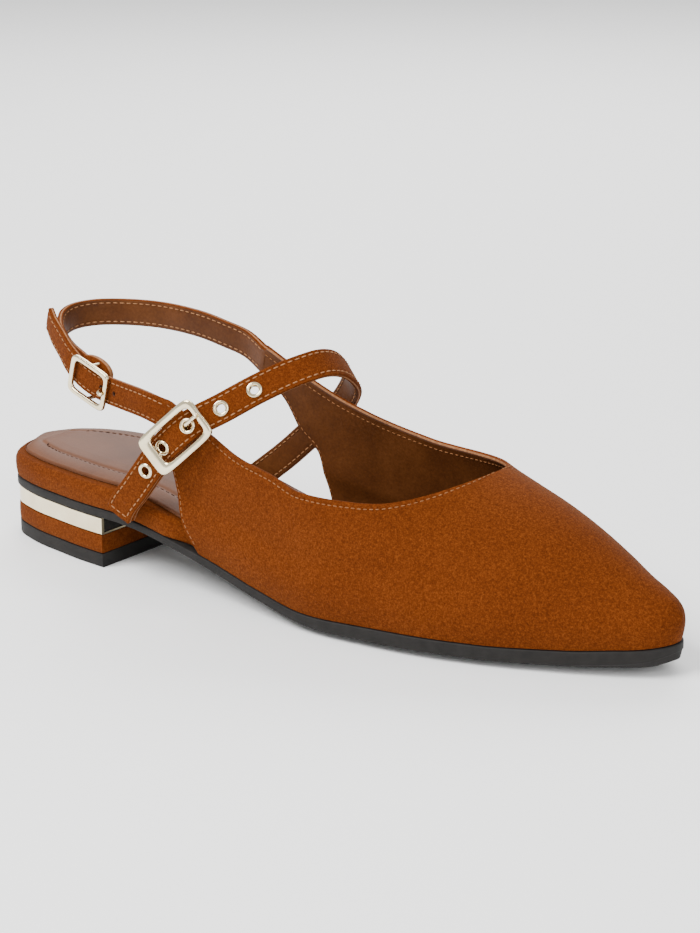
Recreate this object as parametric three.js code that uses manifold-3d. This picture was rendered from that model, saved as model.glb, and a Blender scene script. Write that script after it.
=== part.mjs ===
// A women's right sling back flat: a pointed closed toe with two side wings, a strap round the heel
// with a small buckle, and an instep strap that crosses outside both wings to a larger buckle.
// Millimetres, +X towards the toe, +Y towards the inner side of the foot, +Z up.
// The origin is on the ground under the centre of the heel seat.
import * as THREE from 'three';
import Module from 'manifold-3d';

const wasm = await Module();
wasm.setup();

// Driving sizes of the sole and heel
const soleLength = 260.8;
const ballWidth = 74;
const heelBack = 23;
const heelLength = 56.3;
const heelInset = 0.5;
const liftHeight = 4.7;
const blockHeight = 6.2;
const bandHeight = 5.9;
const bandWall = 1.2;
const bandFloor = 0.6;
const soleThickness = 6.6;
const soleEdgeLift = 2.3;
const boardHeight = 8.0;
const boardSwell = 0.4;
const sockThickness = 2.0;
const sockInset = 3.2;
const sockCrown = 1.0;
const joint = 0.3;

// Driving sizes of the upper
const upperWall = 1.8;
const upperInset = 0.5;
const featherRoll = 1.3;
const featherRollHeight = 17;
const throatHeight = 51;
const throatShare = 0.740;

// Driving sizes of the straps. Their reach, span and height follow the shoe's length, width and
// throat height.
const strapWidth = 9.6;
const slingWidth = 9.2;
const strapWall = 1.9;
const slingHeight = 1.2941 * throatHeight;
const slingReach = 0.2377 * soleLength;
const slingSpan = 0.3716 * ballWidth;
const instepRise = 1.6275 * throatHeight;
const instepSpan = 0.4054 * ballWidth;
const instepOffset = 46;
const instepBack = 19;
const instepLean = 44.6;
const instepTurn = 11.5;

// Driving sizes of the metal parts
const eyeletOuter = 5.4;
const eyeletHole = 2.8;
const eyeletPitch = 12.0;
const eyeletOffset = 22.5;
const eyeletTube = 1.9;
const eyeletCount = 5;
const eyeletRim = 0.6;
const mainEyelet = 2;
const mainReach = 4.9;
const mainLength = 24.8;
const mainWidth = 15;
const mainAside = -0.6;
const mainBar = 2.3;
const mainWideBar = 4.2;
const mainThickness = 1.7;
const pivotRadius = 0.6;
const pivotGap = 0.2;
const foldWall = 0.7;
const foldSlot = 3;
const rearLength = 18.5;
const rearWidth = 14;
const rearBar = 1.5;
const rearThickness = 1.5;
const rearShare = 0.478;
const rearReach = 5.4;
const prongRadius = 0.55;

const seatHeight = liftHeight + blockHeight + bandHeight + 3 * joint;

// Sole outline: half widths as shares of half the ball width, centre line as a share of it too.
const outlineRows = [
  { at: 0.000, near: 0.000, far: 0.000, centre: 0.000 },
  { at: 0.008, near: 0.260, far: 0.265, centre: 0.000 },
  { at: 0.021, near: 0.422, far: 0.430, centre: 0.000 },
  { at: 0.037, near: 0.511, far: 0.530, centre: 0.000 },
  { at: 0.059, near: 0.576, far: 0.610, centre: 0.000 },
  { at: 0.088, near: 0.641, far: 0.675, centre: 0.000 },
  { at: 0.129, near: 0.697, far: 0.715, centre: 0.000 },
  { at: 0.172, near: 0.749, far: 0.735, centre: 0.000 },
  { at: 0.214, near: 0.778, far: 0.735, centre: 0.000 },
  { at: 0.283, near: 0.800, far: 0.716, centre: 0.000 },
  { at: 0.385, near: 0.843, far: 0.703, centre: 0.000 },
  { at: 0.488, near: 0.924, far: 0.784, centre: 0.000 },
  { at: 0.590, near: 0.997, far: 0.932, centre: 0.003 },
  { at: 0.652, near: 0.970, far: 1.005, centre: 0.008 },
  { at: 0.713, near: 0.919, far: 1.027, centre: 0.014 },
  { at: 0.795, near: 0.784, far: 0.905, centre: 0.032 },
  { at: 0.877, near: 0.578, far: 0.676, centre: 0.054 },
  { at: 0.939, near: 0.397, far: 0.446, centre: 0.076 },
  { at: 0.980, near: 0.236, far: 0.250, centre: 0.089 },
  { at: 1.000, near: 0.000, far: 0.000, centre: 0.097 },
];

// Side profile: underside as a share of the seat height, sole and foot board of their thickness,
// and how far the crowned underside lifts at its edges.
const profileRows = [
  { at: 0.000, under: 1.000, sole: 0.44, board: 1.00, lift: 0.00 },
  { at: 0.228, under: 1.000, sole: 0.44, board: 1.00, lift: 0.00 },
  { at: 0.272, under: 0.955, sole: 0.41, board: 0.98, lift: 0.05 },
  { at: 0.337, under: 0.791, sole: 0.42, board: 0.90, lift: 0.13 },
  { at: 0.409, under: 0.548, sole: 0.54, board: 0.74, lift: 0.35 },
  { at: 0.497, under: 0.232, sole: 0.67, board: 0.55, lift: 0.65 },
  { at: 0.566, under: 0.034, sole: 0.83, board: 0.42, lift: 0.91 },
  { at: 0.605, under: 0.000, sole: 0.92, board: 0.36, lift: 1.00 },
  { at: 0.700, under: 0.000, sole: 1.00, board: 0.30, lift: 1.00 },
  { at: 0.790, under: 0.000, sole: 1.00, board: 0.28, lift: 1.00 },
  { at: 0.891, under: 0.045, sole: 1.00, board: 0.26, lift: 1.00 },
  { at: 0.937, under: 0.100, sole: 1.00, board: 0.25, lift: 1.00 },
  { at: 0.975, under: 0.165, sole: 0.95, board: 0.24, lift: 1.00 },
  { at: 1.000, under: 0.290, sole: 0.75, board: 0.22, lift: 1.00 },
];

// Sections of the last: ridge height as a share of the throat height, the ridge's place between
// the near and the far edge, and the roundness of the section (2 is an ellipse, more is squarer).
const lastRows = [
  { at: 0.283, ridge: 2.00, side: 0.52, round: 3.2 },
  { at: 0.373, ridge: 1.87, side: 0.52, round: 3.1 },
  { at: 0.467, ridge: 1.74, side: 0.53, round: 2.8 },
  { at: 0.590, ridge: 1.42, side: 0.54, round: 2.4 },
  { at: 0.665, ridge: 1.19, side: 0.54, round: 2.25 },
  { at: 0.710, ridge: 1.06, side: 0.54, round: 2.1 },
  { at: 0.740, ridge: 1.00, side: 0.54, round: 2.0 },
  { at: 0.803, ridge: 0.90, side: 0.53, round: 1.95 },
  { at: 0.860, ridge: 0.79, side: 0.52, round: 1.95 },
  { at: 0.914, ridge: 0.655, side: 0.51, round: 2.0 },
  { at: 0.943, ridge: 0.575, side: 0.50, round: 2.05 },
  { at: 0.970, ridge: 0.51, side: 0.50, round: 2.1 },
  { at: 0.990, ridge: 0.45, side: 0.50, round: 2.2 },
  { at: 1.000, ridge: 0.37, side: 0.50, round: 2.3 },
];

// Top line of the wings, as shares of the throat height.
const toplineRows = [
  { at: 0.333, near: 1.247, far: 1.385 },
  { at: 0.405, near: 1.090, far: 1.216 },
  { at: 0.454, near: 0.990, far: 1.110 },
  { at: 0.508, near: 0.933, far: 1.025 },
  { at: 0.554, near: 0.868, far: 0.970 },
  { at: 0.592, near: 0.862, far: 0.937 },
  { at: 0.634, near: 0.862, far: 0.926 },
  { at: 0.655, near: 0.868, far: 0.928 },
  { at: 0.683, near: 0.895, far: 0.938 },
  { at: 0.706, near: 0.930, far: 0.955 },
  { at: 0.724, near: 0.966, far: 0.978 },
  { at: 0.740, near: 1.000, far: 1.000 },
];

// Rear edge of each wing from the sling strap down to the feather edge: place along the sole and
// height as a share of the throat height. The last row meets the feather edge.
const rearEdge = {
  near: [
    { at: 0.325, height: 1.058 },
    { at: 0.343, height: 0.818 },
    { at: 0.355, height: 0.622 },
    { at: 0.365, height: 0.471 },
    { at: 0.387, height: 0.0 },
  ],
  far: [
    { at: 0.322, height: 1.208 },
    { at: 0.359, height: 1.061 },
    { at: 0.386, height: 0.847 },
    { at: 0.411, height: 0.729 },
    { at: 0.419, height: 0.565 },
    { at: 0.434, height: 0.0 },
  ],
};

// Heel strap from the far wing round the heel to the pivot of the rear buckle: along as a share
// of the sling reach, side of the sling span and height of the sling height.
const slingRows = [
  { along: 0.839, side: 0.949, height: 1.042 },
  { along: 0.678, side: 0.964, height: 1.071 },
  { along: 0.500, side: 0.964, height: 1.097 },
  { along: 0.234, side: 0.935, height: 1.109 },
  { along: 0.000, side: 0.771, height: 1.108 },
  { along: -0.126, side: 0.538, height: 1.106 },
  { along: -0.168, side: 0.273, height: 1.100 },
  { along: -0.152, side: 0.055, height: 1.085 },
  { along: -0.076, side: -0.182, height: 1.055 },
  { along: 0.056, side: -0.400, height: 1.027 },
  { along: 0.177, side: -0.567, height: 1.009 },
  { along: 0.277, side: -0.655, height: 0.991 },
];

// Buckled end of the heel strap, from its free tip through the rear buckle to the near wing, with
// the same three shares.
const tailRows = [
  { along: -0.027, side: -0.473, height: 1.174 },
  { along: 0.052, side: -0.578, height: 1.129 },
  { along: 0.142, side: -0.673, height: 1.085 },
  { along: 0.223, side: -0.746, height: 1.036 },
  { along: 0.311, side: -0.789, height: 0.983 },
  { along: 0.416, side: -0.822, height: 0.944 },
  { along: 0.532, side: -0.851, height: 0.921 },
  { along: 0.678, side: -0.902, height: 0.912 },
  { along: 0.839, side: -0.978, height: 0.908 },
];

// Instep strap in its own leaning plane: across as a share of the half span, rise as a share of
// the rise, aside out of the plane as a share of the strap width, and the twist in degrees.
const instepRows = [
  { across: -1.010, rise: 0.044, aside: -0.42, twist: 20 },
  { across: -1.032, rise: 0.098, aside: -0.31, twist: 20 },
  { across: -1.040, rise: 0.194, aside: -0.24, twist: 20 },
  { across: -1.044, rise: 0.297, aside: -0.12, twist: 20 },
  { across: -1.056, rise: 0.438, aside: 0.01, twist: 18 },
  { across: -1.051, rise: 0.528, aside: -0.01, twist: 16 },
  { across: -0.978, rise: 0.602, aside: 0.02, twist: 14 },
  { across: -0.756, rise: 0.719, aside: -0.04, twist: 11 },
  { across: -0.500, rise: 0.826, aside: -0.01, twist: 8 },
  { across: -0.272, rise: 0.907, aside: -0.01, twist: 5 },
  { across: -0.073, rise: 0.962, aside: -0.03, twist: 3 },
  { across: 0.149, rise: 0.987, aside: -0.00, twist: 0 },
  { across: 0.413, rise: 0.971, aside: 0.02, twist: -3 },
  { across: 0.708, rise: 0.910, aside: -0.01, twist: -6 },
  { across: 0.957, rise: 0.825, aside: 0.03, twist: -8 },
  { across: 1.125, rise: 0.692, aside: 0.06, twist: -9 },
  { across: 1.197, rise: 0.560, aside: 0.11, twist: -10 },
  { across: 1.179, rise: 0.416, aside: 0.17, twist: -10 },
  { across: 1.156, rise: 0.266, aside: 0.21, twist: -10 },
  { across: 1.113, rise: 0.070, aside: 0.35, twist: -10 },
];

const colours = {
  suede: 0xa2581f,
  lining: 0x6f4527,
  sock: 0x8a6a58,
  rubber: 0x4a4341,
  gold: 0xd9cba6,
};

// Monotone cubic through the rows of a table, as a function of the column 'at'.
function smooth(rows, column, shape = (v) => v) {
  const x = rows.map((row) => row.at);
  const y = rows.map((row) => shape(row[column]));
  const slope = x.slice(1).map((value, i) => (y[i + 1] - y[i]) / (value - x[i]));
  const tangent = x.map((value, i) => {
    if (i === 0) return slope[0];
    if (i === x.length - 1) return slope[i - 1];
    const [before, after] = [slope[i - 1], slope[i]];
    if (before * after <= 0) return 0;
    return (2 * before * after) / (before + after);
  });
  return (at) => {
    let i = 0;
    while (i < x.length - 2 && at > x[i + 1]) i += 1;
    const span = x[i + 1] - x[i];
    const t = THREE.MathUtils.clamp((at - x[i]) / span, 0, 1);
    const t2 = t * t;
    const t3 = t2 * t;
    return (2 * t3 - 3 * t2 + 1) * y[i] + (t3 - 2 * t2 + t) * span * tangent[i]
      + (3 * t2 - 2 * t3) * y[i + 1] + (t3 - t2) * span * tangent[i + 1];
  };
}

const square = (value) => value * value;
const widthSquared = {
  near: smooth(outlineRows, 'near', square),
  far: smooth(outlineRows, 'far', square),
};
const centreLine = smooth(outlineRows, 'centre');
const underShare = smooth(profileRows, 'under');
const soleShare = smooth(profileRows, 'sole');
const boardShare = smooth(profileRows, 'board');
const liftShare = smooth(profileRows, 'lift');
const ridgeShare = smooth(lastRows, 'ridge');
const ridgeSide = smooth(lastRows, 'side');
const sectionRound = smooth(lastRows, 'round');
const topline = { near: smooth(toplineRows, 'near'), far: smooth(toplineRows, 'far') };

const shareOf = (x) => (x + heelBack) / soleLength;
const along = (share) => share * soleLength - heelBack;
const soleUnder = (share) => underShare(share) * seatHeight;
const soleTop = (share) => soleUnder(share) + soleShare(share) * soleThickness;
const boardTop = (share) => soleTop(share) + joint + boardShare(share) * boardHeight;
const featherHeight = (share) => soleTop(share) + joint;

// A point of the sole's outline, moved outwards in plan by offset. Half widths are squared in the
// tables' curves so that the heel and the toe both come out round.
function edge(share, side, offset = 0) {
  const sign = side === 'near' ? -1 : 1;
  const at = (s) => new THREE.Vector2(
    along(s),
    (centreLine(s) + sign * Math.sqrt(Math.max(0, widthSquared[side](s)))) * ballWidth / 2,
  );
  const point = at(share);
  if (share <= 0) return point.add(new THREE.Vector2(-offset, 0));
  if (share >= 1) return point.add(new THREE.Vector2(offset, 0));
  const step = Math.min(0.004, share / 2, (1 - share) / 2);
  const tangent = at(share + step).sub(at(share - step)).normalize();
  return point.add(new THREE.Vector2(-tangent.y, tangent.x).multiplyScalar(sign * offset));
}

// Shares along the sole, closer together where the ends are round.
function stations(count, from = 0, to = 1) {
  const angle = (share) => Math.acos(1 - 2 * share);
  return Array.from({ length: count + 1 }, (unused, i) => {
    const a = angle(from) + (angle(to) - angle(from)) * i / count;
    return THREE.MathUtils.clamp((1 - Math.cos(a)) / 2, 0, 1);
  });
}

// Collects faces, welds equal corners and drops the faces that the weld closes.
class Solid {
  constructor() {
    this.corners = [];
    this.faces = [];
    this.known = new Map();
  }

  corner(point) {
    const key = [point.x, point.y, point.z].map((v) => Math.round(v * 2000)).join(',');
    if (!this.known.has(key)) {
      this.known.set(key, this.corners.length);
      this.corners.push(point.clone());
    }
    return this.known.get(key);
  }

  face(a, b, c) {
    const [i, j, k] = [a, b, c].map((point) => this.corner(point));
    if (i !== j && j !== k && k !== i) this.faces.push([i, j, k]);
  }

  quad(a, b, c, d) {
    this.face(a, b, c);
    this.face(a, c, d);
  }

  volume() {
    return this.faces.reduce((sum, [i, j, k]) => sum + this.corners[i].dot(
      new THREE.Vector3().crossVectors(this.corners[j], this.corners[k]),
    ), 0) / 6;
  }

  geometry() {
    const turned = this.volume() < 0;
    const faces = this.faces.map(([i, j, k]) => (turned ? [i, k, j] : [i, j, k]));
    const geometry = new THREE.BufferGeometry();
    const flat = this.corners.flatMap((point) => [point.x, point.y, point.z]);
    geometry.setAttribute('position', new THREE.Float32BufferAttribute(flat, 3));
    geometry.setIndex(faces.flat());
    return geometry;
  }
}

// A ring made of a row of points and the row that faces it.
const facing = ([first, second]) => [...first, ...[...second].reverse()];

// Closed solid through rings with an even count of points. An open run is closed across its end
// rings from side to side; a round run joins its last ring to its first.
function loft(rings, round = false) {
  const solid = new Solid();
  const count = rings[0].length;
  const last = round ? rings.length : rings.length - 1;
  for (let i = 0; i < last; i += 1) {
    const here = rings[i];
    const next = rings[(i + 1) % rings.length];
    for (let j = 0; j < count; j += 1) {
      const k = (j + 1) % count;
      solid.quad(here[j], here[k], next[k], next[j]);
    }
  }
  const half = count / 2;
  const end = rings[rings.length - 1];
  const pinched = (ring) => ring[0].distanceTo(ring[half - 1]) < 1e-3;
  for (let j = 0; j < half - 1 && !round; j += 1) {
    if (!pinched(rings[0])) {
      solid.quad(rings[0][j], rings[0][count - 1 - j], rings[0][count - 2 - j], rings[0][j + 1]);
    }
    if (!pinched(end)) solid.quad(end[j], end[j + 1], end[count - 2 - j], end[count - 1 - j]);
  }
  return solid.geometry();
}

function toManifold(geometry) {
  const vertProperties = new Float32Array(geometry.getAttribute('position').array);
  const triVerts = new Uint32Array(geometry.getIndex().array);
  return new wasm.Manifold(new wasm.Mesh({ numProp: 3, vertProperties, triVerts }));
}

function fromManifold(manifold) {
  const mesh = manifold.getMesh();
  const geometry = new THREE.BufferGeometry();
  geometry.setAttribute('position', new THREE.Float32BufferAttribute(mesh.vertProperties, 3));
  geometry.setIndex(Array.from(mesh.triVerts));
  return geometry;
}

const joined = (first, ...others) => fromManifold(
  others.reduce((sum, other) => sum.add(toManifold(other)), toManifold(first)),
);
const cut = (body, ...tools) => fromManifold(
  tools.reduce((rest, tool) => rest.subtract(toManifold(tool)), toManifold(body)),
);

const group = new THREE.Group();

function add(name, geometry, colour, roughness, metalness = 0) {
  const material = new THREE.MeshStandardMaterial({ color: colour, roughness, metalness });
  const mesh = new THREE.Mesh(geometry, material);
  mesh.name = name;
  group.add(mesh);
}

// Slab that follows the outline: shares, outline offset per level, and a height per level.
function slab(shares, levels, across = [-1, 1]) {
  return loft(shares.map((share) => facing(levels.map(({ offset, height }) => across.map((t) => {
    const near = edge(share, 'near', offset);
    const far = edge(share, 'far', offset);
    const plan = near.lerp(far, (t + 1) / 2);
    return new THREE.Vector3(plan.x, plan.y, height(share, t));
  })))));
}

const breastShare = heelLength / soleLength;

function heelSlab(from, to, inset) {
  return slab(stations(16, 0, breastShare), [
    { offset: -inset, height: () => from },
    { offset: -inset, height: () => to },
  ]);
}

function heelBand(from, to) {
  const shares = stations(16, 0, breastShare);
  const route = [
    ...[...shares].reverse().map((share) => ['near', share]),
    ...shares.slice(1).map((share) => ['far', share]),
  ];
  const wall = loft(route.map(([side, share]) => facing([0, bandWall].map((depth) => {
    const plan = edge(share, side, -heelInset - depth);
    return [from, to].map((height) => new THREE.Vector3(plan.x, plan.y, height));
  }))));
  return joined(wall, heelSlab(from, from + bandFloor, heelInset + bandWall / 2));
}

function outsole() {
  const across = [-1, -0.86, -0.6, -0.2, 0.2, 0.6, 0.86, 1];
  const edgeLift = (share, t) => liftShare(share) * soleEdgeLift
    * square(Math.max(0, (Math.abs(t) - 0.6) / 0.4));
  return slab(stations(40), [
    { offset: 0, height: (share, t) => soleUnder(share) + edgeLift(share, t) },
    { offset: 0, height: (share) => soleTop(share) },
  ], across);
}

// The board swells a little behind the wings and steps in where the wings cover it.
function board() {
  return loft(stations(40).map((share) => {
    const inside = THREE.MathUtils.smoothstep(share, rearEdge.near[0].at, rearEdge.near[3].at);
    const step = -inside * (upperInset + upperWall + 2 * joint);
    const swell = boardSwell * (1 - inside);
    const low = soleTop(share) + joint;
    const high = boardTop(share);
    const row = (outer, side, height) => {
      const plan = edge(share, side, outer);
      return new THREE.Vector3(plan.x, plan.y, height);
    };
    const lower = THREE.MathUtils.lerp(low, high, 0.3);
    const upper = THREE.MathUtils.lerp(low, high, 0.75);
    return facing([
      [
        row(step + swell, 'near', lower),
        row(step, 'near', low),
        row(step, 'far', low),
        row(step + swell, 'far', lower),
      ],
      [
        row(step + swell, 'near', upper),
        row(step, 'near', high),
        row(step, 'far', high),
        row(step + swell, 'far', upper),
      ],
    ]);
  }));
}

function sock() {
  const across = [-1, -0.8, 0.8, 1];
  const base = (share) => boardTop(share) + joint;
  const crown = (t) => sockThickness - sockCrown * t ** 6;
  return slab(stations(40), [
    { offset: -sockInset, height: base },
    { offset: -sockInset, height: (share, t) => base(share) + crown(t) },
  ], across);
}

// A point of the last. Turn 0 is the near feather edge, 1 the ridge and 2 the far feather edge.
function lastPoint(share, turn, offset) {
  const base = featherHeight(share);
  const top = ridgeShare(share) * throatHeight + offset;
  const angle = (turn <= 1 ? turn : 2 - turn) * Math.PI / 2;
  const power = 2 / sectionRound(share);
  const rise = Math.sin(angle) ** power;
  const height = base + (top - base) * rise;
  const roll = featherRoll * Math.sin(Math.PI * Math.min(1, (height - base) / featherRollHeight));
  const near = edge(share, 'near', offset - upperInset + roll);
  const far = edge(share, 'far', offset - upperInset + roll);
  const ridge = near.clone().lerp(far, ridgeSide(share));
  const plan = ridge.lerp(turn <= 1 ? near : far, Math.max(0, Math.cos(angle)) ** power);
  return new THREE.Vector3(plan.x, plan.y, height);
}

function turnOf(share, height) {
  const base = featherHeight(share);
  const rise = THREE.MathUtils.clamp((height - base) / (ridgeShare(share) * throatHeight - base), 0, 1);
  return Math.asin(rise ** (sectionRound(share) / 2)) / (Math.PI / 2);
}

// Runs of one side of the upper, each from its lower to its upper place as [share, turn].
const rearRuns = 8;
const sideRuns = 14;
const toeRuns = 16;
const wallRows = 8;

function upperRuns(side) {
  const rows = rearEdge[side];
  const edgeAt = smooth(rows.map((row, i) => ({ at: i / (rows.length - 1), share: row.at })), 'share');
  const corner = rows[rows.length - 1].at;
  const heightRows = rows.map((row, i) => ({
    at: i / (rows.length - 1),
    height: i === rows.length - 1 ? featherHeight(corner) : row.height * throatHeight,
  }));
  const edgeHeight = smooth(heightRows, 'height');
  const start = toplineRows[0].at;
  const shoulder = corner + 0.03;
  const top = (share) => (share >= throatShare ? 1 : turnOf(share, topline[side](share) * throatHeight));
  const runs = [];
  for (let i = 0; i < rearRuns; i += 1) {
    const t = i / rearRuns;
    const share = edgeAt(t);
    const above = THREE.MathUtils.lerp(start, shoulder, t);
    runs.push([[share, turnOf(share, edgeHeight(t))], [above, top(above)]]);
  }
  const sideShares = Array.from({ length: sideRuns }, (unused, i) => (
    THREE.MathUtils.lerp(corner, throatShare, i / sideRuns)));
  const toeShares = Array.from({ length: toeRuns + 1 }, (unused, i) => (
    THREE.MathUtils.lerp(throatShare, 1, Math.sin((i / toeRuns) * Math.PI / 2))));
  const front = [...sideShares, ...toeShares];
  front.forEach((share) => {
    const lead = 0.03 * Math.max(0, 1 - (share - corner) / (throatShare - corner));
    runs.push([[share, 0], [share + lead, top(share + lead)]]);
  });
  return { runs, throatRun: rearRuns + sideRuns };
}

function upperGrid(side, runs, offset) {
  return runs.map(([low, high]) => Array.from({ length: wallRows + 1 }, (unused, j) => {
    const t = j / wallRows;
    const share = THREE.MathUtils.lerp(low[0], high[0], t);
    const turn = THREE.MathUtils.lerp(low[1], high[1], t);
    return lastPoint(share, side === 'near' ? turn : 2 - turn, offset);
  }));
}

// The hollow upper: both sides meet along the ridge in front of the throat and at the toe.
function upper() {
  const solid = new Solid();
  ['near', 'far'].forEach((side) => {
    const { runs, throatRun } = upperRuns(side);
    const outer = upperGrid(side, runs, 0);
    const inner = upperGrid(side, runs, -upperWall);
    const put = side === 'near'
      ? (a, b, c, d) => solid.quad(a, b, c, d)
      : (a, b, c, d) => solid.quad(d, c, b, a);
    for (let i = 0; i < runs.length - 1; i += 1) {
      for (let j = 0; j < wallRows; j += 1) {
        put(outer[i][j], outer[i + 1][j], outer[i + 1][j + 1], outer[i][j + 1]);
        put(inner[i][j + 1], inner[i + 1][j + 1], inner[i + 1][j], inner[i][j]);
      }
      put(inner[i][0], inner[i + 1][0], outer[i + 1][0], outer[i][0]);
      if (i < throatRun) {
        const j = wallRows;
        put(outer[i][j], outer[i + 1][j], inner[i + 1][j], inner[i][j]);
      }
    }
    for (let j = 0; j < wallRows; j += 1) {
      put(inner[0][j], outer[0][j], outer[0][j + 1], inner[0][j + 1]);
    }
  });
  return solid.geometry();
}

// A strap's run: its centre, the direction along it, of its width and out of its face.
function strapRun(points, widthAt) {
  const curve = new THREE.CatmullRomCurve3(points, false, 'centripetal');
  const length = curve.getLength();
  const at = (t) => {
    const centre = curve.getPointAt(t);
    const forward = curve.getTangentAt(t);
    const width = widthAt(t, forward);
    width.addScaledVector(forward, -width.dot(forward)).normalize();
    const out = new THREE.Vector3().crossVectors(forward, width);
    return { centre, forward, width, out };
  };
  return { at, length };
}

// A place beside a run: distances along it, across its width and out of its face.
const beside = ({ centre, forward, width, out }, u, v, n) => centre.clone()
  .addScaledVector(forward, u).addScaledVector(width, v).addScaledVector(out, n);

const steps = (count, from = 0, to = 1) => Array.from(
  { length: count + 1 },
  (unused, i) => from + (to - from) * i / count,
);

// Rings of a straight-sided band along a run, sunk below its face by a distance.
const bandRings = (run, shares, width, sunk = 0) => shares.map((t) => {
  const place = run.at(t);
  return facing([strapWall / 2, -strapWall / 2].map((n) => (
    [-1, 1].map((v) => beside(place, 0, v * width / 2, n - sunk)))));
});

// Round bar through points, with a mitre where it turns.
function rod(points, radius, sides = 8) {
  const tangents = points.map((point, i) => {
    const before = points[Math.max(0, i - 1)];
    const after = points[Math.min(points.length - 1, i + 1)];
    const arrive = point.clone().sub(before).normalize();
    const leave = after.clone().sub(point).normalize();
    return arrive.add(leave).normalize();
  });
  const plane = new THREE.Vector3().crossVectors(tangents[0], points[1].clone().sub(points[0]));
  const bend = points.reduce((sum, point, i) => (i < 2 ? sum : sum.add(
    new THREE.Vector3().crossVectors(
      points[i - 1].clone().sub(points[i - 2]),
      point.clone().sub(points[i - 1]),
    ),
  )), plane);
  const spare = Math.abs(tangents[0].z) < 0.9 ? new THREE.Vector3(0, 0, 1) : new THREE.Vector3(1, 0, 0);
  const side = bend.lengthSq() > 1e-9 ? bend.normalize() : spare.cross(tangents[0]).normalize();
  return loft(points.map((point, i) => {
    const across = new THREE.Vector3().crossVectors(side, tangents[i]).normalize();
    const turn = i === 0 || i === points.length - 1 ? 1
      : tangents[i].dot(points[i + 1].clone().sub(point).normalize());
    return steps(sides - 1, 0, 1 - 1 / sides).map((share) => point.clone()
      .addScaledVector(side, Math.cos(2 * Math.PI * share) * radius)
      .addScaledVector(across, Math.sin(2 * Math.PI * share) * radius / turn));
  }));
}

const frameSides = 28;

// Flat frame with round corners about a place, its two end bars of their own width.
function frame(place, { length, width, front, rear, side, thickness }) {
  const bevel = thickness * 0.25;
  const corner = (angle, halfLength, halfWidth) => {
    const round = (value) => Math.sign(value) * Math.abs(value) ** 0.29;
    return [round(Math.cos(angle)) * halfLength, round(Math.sin(angle)) * halfWidth];
  };
  return loft(steps(frameSides - 1, 0, 1 - 1 / frameSides).map((share) => {
    const angle = 2 * Math.PI * share;
    const [outU, outV] = corner(angle, length / 2, width / 2);
    const [inU, inV] = corner(angle, (length - front - rear) / 2, width / 2 - side);
    const shift = (rear - front) / 2;
    const rim = (u, v, du, dv) => [-1, -0.5, 0.5, 1].map((level) => {
      const draw = Math.abs(level) === 1 ? bevel : 0;
      return beside(place, u - du * draw, v - dv * draw, level * thickness / 2);
    });
    const [du, dv] = [Math.cos(angle), Math.sin(angle)];
    return facing([rim(outU, outV, du, dv), rim(inU + shift, inV, -du, -dv)]);
  }), true);
}

const moved = (place, u, n) => ({ ...place, centre: beside(place, u, 0, n) });
const acrossBar = (place, half, radius, sides = 12) => (
  rod([beside(place, 0, -half, 0), beside(place, 0, half, 0)], radius, sides));

const up = new THREE.Vector3(0, 0, 1);
const slingPoint = (row) => new THREE.Vector3(
  row.along * slingReach,
  row.side * slingSpan,
  row.height * slingHeight,
);

// The rear corner of a wing that a strap continues: the four corners of its end, set back by the
// joint, in the order of a band's ring.
function wingEnd(side) {
  const { runs } = upperRuns(side);
  const [outer, inner] = [0, -upperWall].map((offset) => upperGrid(side, [runs[0]], offset)[0]);
  return facing([outer, inner].map((row) => [row[0], row[wallRows]].map((point) => (
    point.clone().add(new THREE.Vector3(-joint, 0, 0))))));
}

const ringCentre = (ring) => ring.reduce((sum, point) => sum.add(point), new THREE.Vector3())
  .divideScalar(ring.length);

const farEnd = wingEnd('far');
const nearEnd = wingEnd('near');
const tailRun = strapRun([...tailRows.map(slingPoint), ringCentre(nearEnd)], () => up.clone());
const foldRadius = pivotRadius + pivotGap + foldWall;
const onFace = (place, thickness) => moved(place, 0, strapWall / 2 + joint + thickness / 2);
const underFace = (place) => moved(place, 0, -strapWall / 2 - joint - foldRadius);
const rearPlace = onFace(tailRun.at(rearShare), rearThickness);
const rearPivot = underFace(tailRun.at(rearShare));
const slingRun = strapRun(
  [ringCentre(farEnd), ...slingRows.map(slingPoint), rearPivot.centre],
  () => up.clone(),
);

const lean = THREE.MathUtils.degToRad(instepLean);
const instepUp = new THREE.Vector3(Math.cos(lean), 0, Math.sin(lean));
const instepSide = new THREE.Vector3(0, 1, 0);
const instepWidth = new THREE.Vector3(-Math.sin(lean), 0, Math.cos(lean));
instepWidth.applyAxisAngle(instepUp, -THREE.MathUtils.degToRad(instepTurn));
instepSide.applyAxisAngle(instepUp, -THREE.MathUtils.degToRad(instepTurn));
const instepPoint = (row) => instepUp.clone().multiplyScalar(instepOffset + row.rise * instepRise)
  .addScaledVector(instepSide, row.across * instepSpan)
  .addScaledVector(instepWidth, row.aside * strapWidth - instepBack);
const twistAt = smooth(instepRows.map((row, i) => ({ at: i, twist: row.twist })), 'twist');
const instepRun = strapRun(instepRows.map(instepPoint), (t, forward) => {
  const out = new THREE.Vector3().crossVectors(forward, instepWidth);
  const twist = THREE.MathUtils.degToRad(twistAt(t * (instepRows.length - 1)));
  return instepWidth.clone().multiplyScalar(Math.cos(twist))
    .addScaledVector(out, Math.sin(twist));
});

const liftTop = liftHeight;
const blockFloor = liftTop + joint;
const blockTop = blockFloor + blockHeight;
const bandFloorHeight = blockTop + joint;
const bandTop = bandFloorHeight + bandHeight;

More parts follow.
